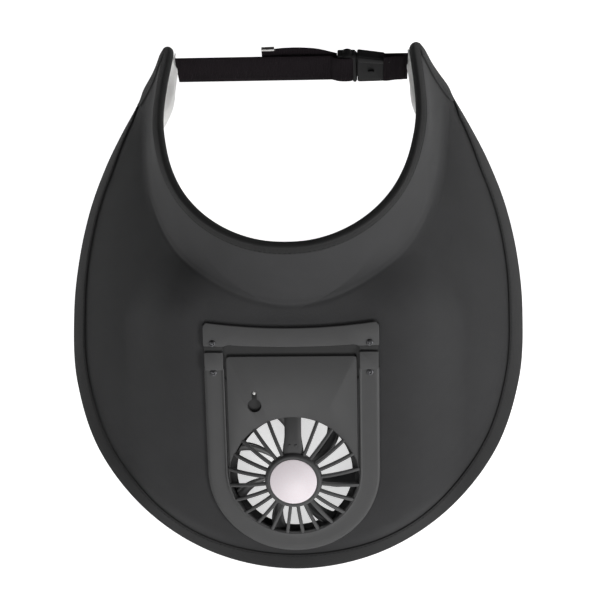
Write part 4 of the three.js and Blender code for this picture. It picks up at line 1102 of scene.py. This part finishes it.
class FANHAT_OT_buckle(bpy.types.Operator):
    """Make the two halves of the side-release buckle"""

    bl_idname = "fan_hat.buckle"
    bl_label = "Buckle"

    def execute(self, context):
        material = finish("buckle plastic")
        low, high = BUCKLE_LOW, BUCKLE_HIGH
        plan = MeshPlan()
        start, stop = SLIDER_START, SLIDER_START + SLIDER_LENGTH
        for x0, x1, lean, depth in ((start, start + 2.2, 0.0, 2.1), (start + 5, start + 7.2, 0.0, 2.1),
                                    (stop - 3.4, stop - 0.5, 0.8, 3.3), (stop - 1.2, stop, 0.3, 2.2)):
            rail = rounded([(x0 + lean, low), (x1 + lean * 0.3, low), (x1 - lean * 0.6, high - 1.2),
                            (x0 - lean * 0.6, high - 1.2)], 0.9)
            plan.slab(slab_rings(rail, -2.4, depth, 0.7), strap_place)
        for y0, y1, depth in ((low, low + 2.0, 2.0), (high - 6.0, high - 0.5, 2.8)):
            rail = rounded_box(start, y0, stop - 0.8, y1, 1.0)
            plan.slab(slab_rings(rail, -3.0, depth, 0.8), strap_place)
        prong = rounded_box(stop - 2, low + 2.5, BUCKLE_START + 3, high - 2.5, 0.5)
        plan.slab(slab_rings(prong, -2.2, 0.6, 0.4), strap_place)
        knob = turned([(0.01, -3.2), (2.2, -3.2), (2.9, -2.5), (3.0, 0), (2.9, 2.7), (2.3, 3.5),
                       (0.01, 3.7)], 32)
        knob = np.stack([1.2 * knob[..., 0] + start + 6.3, knob[..., 1] + high - 2.2, knob[..., 2]], -1)
        plan.body(knob, closed=True, place=strap_place)
        plan.write("buckle_slider_half", material, "visor", "buckle", ["buckle_slider"])
        plan = MeshPlan()
        body = rounded([(BUCKLE_START, low), (BUCKLE_END, low + 0.4), (BUCKLE_END + 0.4, high - 4.2),
                        (BUCKLE_START, high - 0.2)], 1.6, 8)
        plan.slab(slab_rings(body, -3.2, 3.2, 0.8, 6), strap_place)
        arm = rounded([(BUCKLE_START + 0.6, high - 5.6), (BUCKLE_END - 1.0, high - 8.0),
                       (BUCKLE_END + 3.6, high - 6.6), (BUCKLE_END + 3.6, high - 5.2),
                       (BUCKLE_START + 0.6, high - 1.0)], 0.9)
        plan.slab(slab_rings(arm, 2.4, 3.9, 0.5), strap_place)
        piece = plan.write("buckle_body_half", material, "visor", "buckle", ["buckle_body"])
        angle = full_turn(28)
        eye = np.stack([(BUCKLE_START + BUCKLE_END) / 2 + 2.1 * np.cos(angle), 1.0 * np.sin(angle)], -1)
        cut_with(piece, slab_rings(eye, -4.5, 4.5, 0.01, 2), strap_place)
        return {"FINISHED"}


def cut_with(piece, rings, place):
    """Cut a closed slab out of a piece with an exact Boolean, and keep the result in its mesh."""
    cutter_plan = MeshPlan()
    cutter_plan.slab(rings, place)
    cutter = cutter_plan.write("cutter", piece.data.materials[0], None, None)
    modifier = piece.modifiers.new("cut", "BOOLEAN")
    modifier.operation, modifier.solver, modifier.object = "DIFFERENCE", "EXACT", cutter
    graph = bpy.context.evaluated_depsgraph_get()
    cut = bpy.data.meshes.new_from_object(piece.evaluated_get(graph))
    piece.modifiers.clear()
    old, piece.data = piece.data, cut
    cut.name = piece.name
    bpy.data.meshes.remove(old)
    bpy.data.objects.remove(cutter)
    cut.shade_smooth()
    cut.set_sharp_from_angle(angle=math.radians(35))


# Fan module


def arch_line(half, top, centre, straight=14, bend=72):
    """An arch from its right upper end down, round its lower end and up to the left: straight
    sides and half a circle about a centre on the middle line."""
    side = np.linspace(0, 1, straight, endpoint=False)
    right = np.stack([np.full(straight, half), top + (centre - top) * side], -1)
    angle = np.linspace(0, -math.pi, bend + 1)
    low = np.stack([half * np.cos(angle), centre + half * np.sin(angle)], -1)
    left = np.stack([np.full(straight, -half), centre + (top - centre) * (side + 1 / straight)], -1)
    return np.concatenate([right, low, left])


class FANHAT_OT_plates(bpy.types.Operator):
    """Make the curved top plate and the U-shaped flange with its two lugs"""

    bl_idname = "fan_hat.plates"
    bl_label = "Top plate and flange"

    def execute(self, context):
        material = finish("module plastic")
        edge = setting("edge_round")
        outer = arch_line(FRAME_HALF, FRAME_TOP, FRAME_ARC_LIFT)
        inner = arch_line(WINDOW_HALF + 0.05, FRAME_TOP, FRAME_ARC_LIFT)
        section = np.array([
            (1.0, 0.0), (1.0, 0.55), (0.995, 0.85), (0.975, 1.2), (0.93, 1.62), (0.87, 1.93),
            (0.845, 2.0), (0.6, 1.9), (0.3, 1.86), (0.13, 1.9), (0.1, 2.0), (0.08, 2.35),
            (0.055, 2.45), (0.02, 2.4), (0.0, 2.2), (0.0, 1.2),
        ])
        upper = outer[:, None] * section[:, :1] + inner[:, None] * (1 - section[:, :1])
        level = np.broadcast_to(SEAT + section[:, 1:], (len(outer), len(section), 1))
        upper = np.concatenate([upper, level], -1)
        lower = upper.copy()
        lower[..., 2] = SEAT - 0.25
        plan = MeshPlan()
        plan.body(folded(upper, lower), place=from_module)
        for sign in (1, -1):
            x0, x1 = sorted((sign * (WINDOW_HALF + 0.3), sign * (FRAME_HALF - 0.5)))
            lug = rounded_box(x0, FRAME_TOP - 0.6, x1, LUG_TOP, 0.9)
            rings = slab_rings(lug, SEAT - 0.2, SEAT + 3.2, edge)
            rings[..., 2] -= np.where(rings[..., 2] > SEAT + 1, 0.5 * fade(rings[..., 1], 76, 84), 0)
            plan.slab(rings, from_module)
        plan.write("flange", material, "visor", "plastic", ["fan_frame"])
        w, corner, arm_end = FRAME_HALF, PLATE_CORNER, PLATE_ARM_END
        t = np.linspace(0, 1, 40)
        top_x = -w + 2.2 + (2 * w - 4.4) * t
        top_y = PLATE_TOP - PLATE_DIP * (1 - (top_x / w) ** 2)
        top = np.stack([top_x, top_y], -1)[::-1]
        half = WINDOW_HALF - 1.0
        low_x = np.linspace(-half + corner, half - corner, 34)
        low_y = PLATE_BOTTOM + 0.2 + 1.5 * (low_x / half) ** 2
        bend = np.linspace(0, math.pi / 2, 7)
        corner_y = arm_end + 0.1
        bend_y = corner_y + (PLATE_BOTTOM + 1.6 - corner_y) * np.sin(bend)
        left_bend = np.stack([-half + corner * (1 - np.cos(bend)), bend_y], -1)
        right_bend = left_bend[::-1] * [-1, 1]
        right_end = np.array([(w, PLATE_TOP - 3), (w, arm_end + 0.6), (w - 0.6, arm_end),
                              (half + 1.0, arm_end - 0.4), (half + 0.4, arm_end)])
        left_end = right_end[::-1] * [-1, 1]
        lower_edge = np.concatenate([left_bend, np.stack([low_x, low_y], -1), right_bend])
        outline = np.concatenate([top, left_end[::-1], lower_edge, right_end[::-1]])
        rings = slab_rings(outline, SEAT - 0.2, SEAT + PLATE_THICKNESS, 0.6, 6)
        sink = 1.5 * (1 - fade(rings[..., 1], 85, 89.5)) * fade(np.abs(rings[..., 0]), half - 1, half + 2)
        rings[..., 2] -= np.where(rings[..., 2] > SEAT + 0.9, sink, 0)
        plan = MeshPlan()
        plan.slab(rings, from_module)
        plan.write("cover_plate", material, "visor", "plastic", ["top_plate"])
        return {"FINISHED"}


def ray_arch(angle, half, top):
    """The arch's outline seen from the fan's centre: the radius at which a ray meets its side,
    its top or its round end, whose centre lies above the fan's. The corners are taken in a little."""
    x, y = np.sin(angle), np.cos(angle)
    side = half / np.maximum(np.abs(x), 1e-9)
    arc = FRAME_ARC_LIFT * y + np.sqrt(half ** 2 - (FRAME_ARC_LIFT * x) ** 2)
    radius = np.where(side * y > FRAME_ARC_LIFT, np.minimum(side, top / np.maximum(y, 1e-9)), arc)
    corner_angle = math.atan2(half, top)
    near = np.minimum(np.abs(angle - corner_angle), np.abs(2 * math.pi - angle - corner_angle))
    radius = radius - ARCH_CORNER * np.exp(-(near / 0.012) ** 2)
    return np.stack([radius * x, radius * y], -1)


def from_top(angle):
    """Size of an angle from straight up."""
    return np.abs((angle + math.pi) % (2 * math.pi) - math.pi)


def duct_radius(angle):
    """Radius of the fan's opening at an angle from straight up: the smaller one at the top, where
    the panel runs beside it, almost the window's own at the sides, and a little less below."""
    away = from_top(angle)
    wide = fade(away, *DUCT_WIDE_RANGE) - 0.6 * fade(away, *DUCT_LESS_RANGE)
    return DUCT_RADIUS + DUCT_WIDENING * wide


class FANHAT_OT_housing(bpy.types.Operator):
    """Make the housing with its raised panel, duct, recess, keyhole and battery space"""

    bl_idname = "fan_hat.housing"
    bl_label = "Housing"

    def execute(self, context):
        half = WINDOW_HALF - GAP
        corner = math.atan2(half - 1.3, HOUSING_TOP)
        angle = np.sort(np.concatenate([
            np.linspace(0, 2 * math.pi, 300, endpoint=False),
            corner + np.linspace(-0.03, 0.03, 9), 2 * math.pi - corner + np.linspace(-0.03, 0.03, 9)]))
        size = duct_radius(angle)[:, None]
        ring = np.stack([np.sin(angle), np.cos(angle)], -1)
        sunk = 2.3 * fade(from_top(angle), math.radians(88), math.radians(94))
        rows = []

        def row(flat, level):
            flat = flat * np.maximum(1, (size + 0.02) / np.linalg.norm(flat, axis=1, keepdims=True))
            rows.append(np.concatenate([flat, (level + 0 * angle)[:, None]], 1))

        row(ring * size, DUCT_END)
        for out, down in ((0, 0.9), (0.1, 0.35), (0.3, 0.1)):
            row(ring * (size + out), PANEL_LEVEL - down - sunk)
        panel = ray_arch(angle, half - 1.1, HOUSING_TOP)
        thin = np.clip(np.linalg.norm(panel, axis=1, keepdims=True) - size - 0.35, 0.02, None)
        row(ring * (size + np.minimum(0.55, thin)), PANEL_LEVEL - sunk)
        for inset_by, down in ((0.5, 0), (0.15, 0.12), (0.0, 0.45)):
            row(ray_arch(angle, half - 1.1 - inset_by, HOUSING_TOP - inset_by), PANEL_LEVEL - down - sunk)
        for inset_by, down in ((0.9, 1.5), (0.55, 1.5), (0.4, 1.0), (0.1, 1.0), (0.0, 1.3)):
            flat = ray_arch(angle, half - inset_by, HOUSING_TOP + 0.02 - 0.2 * inset_by)
            slot = 5 * fade(flat[:, 1], HOUSING_TOP - 14, HOUSING_TOP - 12)
            row(flat, PANEL_LEVEL - down - sunk - slot)
        row(ray_arch(angle, half, HOUSING_TOP + 0.02), DUCT_END)
        plan = MeshPlan()
        plan.body(np.stack(rows, 1), closed=True, place=from_module)
        piece = plan.write("housing_case", finish("module plastic"), "visor", "plastic", ["fan_housing"], 35)
        spot = full_turn(40)
        circle = np.stack([KEY_X + KEY_RADIUS * np.cos(spot), KEY_Y + KEY_RADIUS * np.sin(spot)], -1)
        bend = np.linspace(0, math.pi, 12)
        slot_end = KEY_Y + KEY_LENGTH - KEY_SLOT / 2
        arc = np.stack([KEY_X + KEY_SLOT / 2 * np.cos(bend), slot_end + KEY_SLOT / 2 * np.sin(bend)], -1)
        foot = np.array([(KEY_X - KEY_SLOT / 2, KEY_Y), (KEY_X + KEY_SLOT / 2, KEY_Y)])
        # A near-black disc at the bottom of each keyhole cut: painted shade in the hole.
        hollow = MeshPlan()
        deep = PANEL_LEVEL - KEY_DEPTH
        for outline in (circle, np.concatenate([arc, foot])):
            cut_with(piece, slab_rings(outline, deep, PANEL_LEVEL + 2, 0.01, 2), from_module)
            floor = slab_rings(inset(outline, 0.08), deep + 0.05, deep + 0.4, 0.05, 2)
            hollow.slab(floor, from_module)
        hollow.write("keyhole_floor", finish("dark hollow"), "visor", "plastic")
        # The recess, the duct's lip and ledge, the pads and the battery block below are in plastic darkened
        # to 0.4 times the case's colour: painted shade.
        plan = MeshPlan()
        recess_top = HOUSING_TOP + RECESS_LENGTH
        recess = rounded_box(-half + 0.2, HOUSING_TOP - 1, half - 0.2, recess_top - 0.2, 4.5, 9)
        plan.slab(slab_rings(recess, DUCT_END, RECESS_LEVEL, 0.7), from_module)
        duct, window = ring * size, ray_arch(angle, WINDOW_HALF + 1.7, HOUSING_TOP + 8)
        lip = [at_level(flat, level) for flat, level in (
            (duct, -1.2), (duct, 1.1), (window, 1.1), (window, -1.2))]
        plan.body(np.stack(lip, 1), closed=True, place=from_module)
        ledge = [at_level(ring * radius, DUCT_END + level) for radius, level in (
            (size + 0.6, -0.2), (size + 0.6, 1.6), *LEDGE_ROWS)]
        plan.body(np.stack(ledge, 1), closed=True, place=from_module)
        # Low dark pads in the gaps above the lugs: painted shade where the plate's arms step down.
        for sign in (1, -1):
            x0, x1 = sorted((sign * (WINDOW_HALF + 0.4), sign * (FRAME_HALF - 0.5)))
            pad = rounded_box(x0, LUG_TOP - 1, x1, LUG_TOP + 5, 0.5)
            plan.slab(slab_rings(pad, SEAT - 0.2, SEAT + 1.0, 0.1), from_module)
        battery = rounded_box(-half + 1, DUCT_RADIUS + 3.2, half - 1, recess_top - 1, 3, 8)
        plan.slab(slab_rings(battery, BATTERY_END, DUCT_END + 1, 1.2, 6), from_module)
        plan.write("housing_back", finish("back plastic"), "visor", "plastic")
        return {"FINISHED"}


def spoke_height(radius, reach):
    """Top of a spoke: a parabola from the hub down to the panel's level at its reach."""
    share = np.clip((radius - HUB_RADIUS) / (reach - HUB_RADIUS), 0, 1.2)
    return PANEL_LEVEL + 0.15 + DOME * (1 - share ** 2)


def spoke_rings(angle, width, drop=0.0, flare=0.0, depth=2.2):
    """One bar of the grille: a section with a rounded ridge carried out along a radius."""
    window = float(np.linalg.norm(ray_arch(np.array([angle]), WINDOW_HALF, HOUSING_TOP)))
    reach = min(float(duct_radius(np.array([angle]))[0]) + 0.6, window + 0.9)
    radius = np.linspace(HUB_RADIUS - 2.2, reach, 22)
    top = spoke_height(radius, reach) - drop
    ring = np.array([(-0.5, -1), (-0.5, -0.45), (-0.42, -0.12), (-0.2, 0), (0.2, 0), (0.42, -0.12),
                     (0.5, -0.45), (0.5, -1)])
    broad = width * (1 + flare * (1 - fade(radius, HUB_RADIUS, HUB_RADIUS + 12)))
    across = ring[None, :, 0] * broad[:, None]
    x = radius[:, None] * math.sin(angle) + across * math.cos(angle)
    y = radius[:, None] * math.cos(angle) - across * math.sin(angle)
    z = top[:, None] + ring[None, :, 1] * depth
    return np.stack([x, y, z], -1)


class FANHAT_OT_grille(bpy.types.Operator):
    """Make the domed grille with its spokes, strut and hub, and the bare label"""

    bl_idname = "fan_hat.grille"
    bl_label = "Grille and label"

    def execute(self, context):
        plan = MeshPlan()
        first = math.pi - SPOKE_PITCH * (SPOKES - 1) / 2
        for k in range(SPOKES):
            plan.body(spoke_rings(first + k * SPOKE_PITCH, SPOKE_WIDTH), place=from_module)
        plan.body(spoke_rings(0.0, STRUT_WIDTH, drop=1.1, flare=0.25, depth=2.6), place=from_module)
        hub = [(0.01, MOTOR_END), (11.6, MOTOR_END), (12, MOTOR_END + 0.4), (12, HUB_BASE - 0.4),
               (12.4, HUB_BASE), (HUB_RADIUS - 0.4, HUB_BASE), (HUB_RADIUS, HUB_BASE + 0.4),
               (HUB_RADIUS, HUB_BASE + 1.2), (HUB_RADIUS - 0.35, HUB_BASE + 2.2),
               (HUB_RADIUS - 1.1, HUB_TOP - 0.35), (HUB_RADIUS - 1.7, HUB_TOP),
               (LABEL_RADIUS + 0.7, HUB_TOP), (LABEL_RADIUS + 0.35, HUB_TOP - 0.15),
               (LABEL_RADIUS + 0.25, HUB_TOP - 0.6), (0.01, HUB_TOP - 0.6)]
        plan.body(turned(hub, 96), closed=True, place=from_module)
        for x in (-2.1, 2.1):
            post = turned([(0.01, 0), (0.75, 0), (0.75, 3.4), (0.55, 3.6), (0.01, 3.6)], 16)
            post = post + np.array([x, HUB_RADIUS + 5.0, PANEL_LEVEL + DOME - 4.2])
            plan.body(post, closed=True, place=from_module)
        plan.write("grille_guard", finish("module plastic"), "visor", "plastic", ["fan_grille"])
        label = [(0.01, HUB_TOP - 0.5), (LABEL_RADIUS, HUB_TOP - 0.5), (LABEL_RADIUS, HUB_TOP + 0.1),
                 (LABEL_RADIUS - 0.15, HUB_TOP + 0.2), (0.01, HUB_TOP + 0.2)]
        plan = MeshPlan()
        plan.body(turned(label, 96), closed=True, place=from_module)
        plan.write("label_disc", finish("label film"), "visor", "label", ["hub_label"])
        return {"FINISHED"}


class FANHAT_OT_rotor(bpy.types.Operator):
    """Make the rotor's hub and curved blades"""

    bl_idname = "fan_hat.rotor"
    bl_label = "Rotor"

    def execute(self, context):
        plan = MeshPlan()
        top = MOTOR_END - GAP
        hub = [(0.01, top - 5.5), (12.6, top - 5.5), (13.6, top - 5.1), (14, top - 4.4), (14, top),
               (1.5, top), (1.5, MOTOR_END + 4.5), (0.01, MOTOR_END + 4.5)]
        plan.body(turned(hub, 72), closed=True, place=from_module)
        out = np.linspace(0, 1, 16)[:, None]
        chord = np.linspace(0, 1, 18)[None, :]
        radius = BLADE_ROOT + (BLADE_TIP - BLADE_ROOT) * out
        low, high = DUCT_END + 1.4, MOTOR_END + 0.1
        for k in range(BLADES):
            sweep = BLADE_SWEEP * (1 + 0.1 * out)
            turn = BLADE_START + 2 * math.pi * k / BLADES - BLADE_SKEW * out ** 2 + sweep * (chord - 0.5)
            z = low + (high - low) * (0.5 - 0.5 * np.cos(np.pi * chord)) + 0.5 * np.sin(np.pi * chord) * out
            thick = 0.6 * (1 - np.abs(2 * chord - 1) ** 4) ** 0.5 + 0.12
            base = np.stack(np.broadcast_arrays(radius * np.sin(turn), radius * np.cos(turn), z), -1)
            lift = np.stack(np.broadcast_arrays(0 * out * chord, 0 * out * chord, thick), -1)
            plan.body(folded(base + lift, base - lift), place=from_module)
        plan.write("rotor_blades", finish("rotor plastic"), "rotor", "blade", ["fan_rotor"])
        return {"FINISHED"}


class FANHAT_OT_fastenings(bpy.types.Operator):
    """Make the four screws and the small lamp in the keyhole"""

    bl_idname = "fan_hat.fastenings"
    bl_label = "Screws and lamp"

    def execute(self, context):
        angle = full_turn(48)
        radius = np.array([0.01, 0.35, 0.7, 0.95, 1.15, 1.5, 1.85, 2.1, 2.15])
        dome = 0.9 * np.sqrt(1 - (radius / 2.2) ** 2)
        cup = -0.55 * (1 - fade(radius, 0.75, 1.2))
        for name, y, seat in (
                ("plate", PLATE_SCREW_Y, SEAT + PLATE_THICKNESS), ("frame", FRAME_SCREW_Y, SEAT + 1.9)):
            for side, sign in (("left", -1), ("right", 1)):
                x_grid = radius[None] * np.cos(angle)[:, None]
                y_grid = radius[None] * np.sin(angle)[:, None]
                level = np.broadcast_to((seat + 0.1 + dome + cup)[None], x_grid.shape)
                upper = np.stack([x_grid + sign * SCREW_X, y_grid + y, level], -1)
                lower = upper.copy()
                lower[..., 2] = seat - 0.2
                plan = MeshPlan()
                plan.body(folded(upper, lower), closed=True, place=from_module)
                plan.write(f"screw_{name}_{side}_head", finish("screw metal"), "visor", "screw",
                           [f"screw_{name}_{side}"])
        slot_end = KEY_Y + KEY_LENGTH - KEY_SLOT / 2
        foot = PANEL_LEVEL - KEY_DEPTH + 0.3
        lamp = turned([(0.01, foot), (1.2, foot), (1.2, PANEL_LEVEL - 1.4), (0.9, PANEL_LEVEL - 0.8),
                       (0.4, PANEL_LEVEL - 0.55), (0.01, PANEL_LEVEL - 0.5)], 32)
        lamp = lamp + np.array([KEY_X, slot_end, 0])
        plan = MeshPlan()
        plan.body(lamp, closed=True, place=from_module)
        plan.write("lamp_lens", finish("lamp lens"), "visor", "lamp", ["indicator_lamp"])
        return {"FINISHED"}


def look_from(location, target, up_hint=(0, 1, 0)):
    """A matrix that places a camera or lamp at a location, looking at a target."""
    back = (Vector(location) - Vector(target)).normalized()
    right = Vector(up_hint).cross(back).normalized()
    turned_axes = Matrix((right, back.cross(right), back)).transposed()
    return Matrix.Translation(location) @ turned_axes.to_4x4()


class FANHAT_OT_stage(bpy.types.Operator):
    """Make the floor, the camera and the soft lights"""

    bl_idname = "fan_hat.stage"
    bl_label = "Floor, camera and lights"

    def execute(self, context):
        scene = context.scene
        side, rise = math.radians(2.8), math.radians(79)
        back = Vector((math.sin(side), -math.cos(side) * math.cos(rise), math.cos(side) * math.sin(rise)))
        target = Vector((4.3, SHIFT[1] + 9.25, SHIFT[2] + 40)) / 1000
        camera_data = bpy.data.cameras.new("camera")
        camera_data.lens, camera_data.sensor_width = 83, 36
        camera_data.clip_start, camera_data.clip_end = 0.05, 20
        camera = bpy.data.objects.new("camera", camera_data)
        scene.collection.objects.link(camera)
        camera.matrix_world = look_from(target + back.normalized() * 0.9, target)
        scene.camera = camera
        for name, place, size, power in (
                ("key light", (1.25, -0.72, 0.67), 0.6, 10.0),
                ("left light", (-0.98, -0.56, 1.14), 0.6, 2.8),
                ("side light", (1.14, 0.0, 1.14), 0.6, 2.6),
                ("front light", (0.0, -1.4, 0.78), 0.6, 7.5)):
            data = bpy.data.lights.new(name, "AREA")
            data.shape, data.size, data.energy = "DISK", size, power
            lamp = bpy.data.objects.new(name, data)
            scene.collection.objects.link(lamp)
            lamp.matrix_world = look_from(place, (0, 0, 0.03))
        world = bpy.data.worlds.new("studio")
        world.use_nodes = True
        world.node_tree.nodes["Background"].inputs[0].default_value = (1, 1, 1, 1)
        world.node_tree.nodes["Background"].inputs[1].default_value = 0.02
        scene.world = world
        scene.view_settings.view_transform = "Standard"
        angle = full_turn(96)
        rings = []
        for radius in (9.0, 1.5, 0.6, 0.2):
            rings.append(np.stack([radius * np.cos(angle), radius * np.sin(angle), np.zeros(96)], -1))
        points = np.concatenate(rings + [np.zeros((1, 3))])
        mesh = bpy.data.meshes.new("floor")
        grid = np.arange(4 * 96).reshape(4, 96)
        nxt = np.roll(grid, -1, 1)
        quads = np.stack([grid[:-1], nxt[:-1], nxt[1:], grid[1:]], -1).reshape(-1, 4)
        fan = np.stack([grid[-1], nxt[-1], np.full(96, 4 * 96)], -1)
        mesh.from_pydata(points.tolist(), [], quads.tolist() + fan.tolist())
        floor = bpy.data.objects.new("floor", mesh)
        scene.collection.objects.link(floor)
        shader = Shader("pale floor", 0.8, specular=0.1)
        cloudy = shader.noise(3, 3)
        shader.link(shader.shade((0.86, 0.86, 0.86), 0.97 + cloudy * 0.05), "Base Color")
        # The floor's glow is 0.6 within 0.05 m of a point under the fan and rises to 1 by 0.1 m: a painted
        # shadow under the hat, seen through the fan.
        offset = shader.node("ShaderNodeVectorMath", {"operation": "SUBTRACT"}, {
            0: shader.object_place(), 1: (0, -0.105, 0)})
        reach = shader.node("ShaderNodeVectorMath", {"operation": "LENGTH"}, {0: offset}, output=1)
        shader.link(shader.node("ShaderNodeValToRGB", {"stops": [(0.05, (0.6,) * 3), (0.1, (1,) * 3)]}, {
            0: reach}), "Emission Color")
        shader.surface.inputs["Emission Strength"].default_value = 1.0
        mesh.materials.append(shader.material)
        return {"FINISHED"}


class FANHAT_PT_panel(bpy.types.Panel):
    """Lists the hat's pieces and its settings"""

    bl_label = "Fan hat"
    bl_idname = "FANHAT_PT_panel"
    bl_space_type = "VIEW_3D"
    bl_region_type = "UI"
    bl_category = "Fan hat"

    def draw(self, context):
        for name in FanHatSettings.__annotations__:
            self.layout.prop(context.scene.fan_hat, name)
        for operator in STEPS:
            self.layout.operator(operator.bl_idname)


STEPS = (
    FANHAT_OT_stage, FANHAT_OT_cloth, FANHAT_OT_tapes, FANHAT_OT_lining, FANHAT_OT_straps,
    FANHAT_OT_buckle, FANHAT_OT_plates, FANHAT_OT_housing, FANHAT_OT_grille, FANHAT_OT_rotor,
    FANHAT_OT_fastenings,
)
CLASSES = (FanHatSettings, *STEPS, FANHAT_PT_panel)


def register():
    for one in CLASSES:
        bpy.utils.register_class(one)
    bpy.types.Scene.fan_hat = bpy.props.PointerProperty(type=FanHatSettings)


def unregister():
    del bpy.types.Scene.fan_hat
    for one in reversed(CLASSES):
        bpy.utils.unregister_class(one)


def main():
    register()
    for step in STEPS:
        group, name = step.bl_idname.split(".")
        getattr(getattr(bpy.ops, group), name)()
    bpy.context.view_layer.update()


if __name__ == "__main__":
    main()
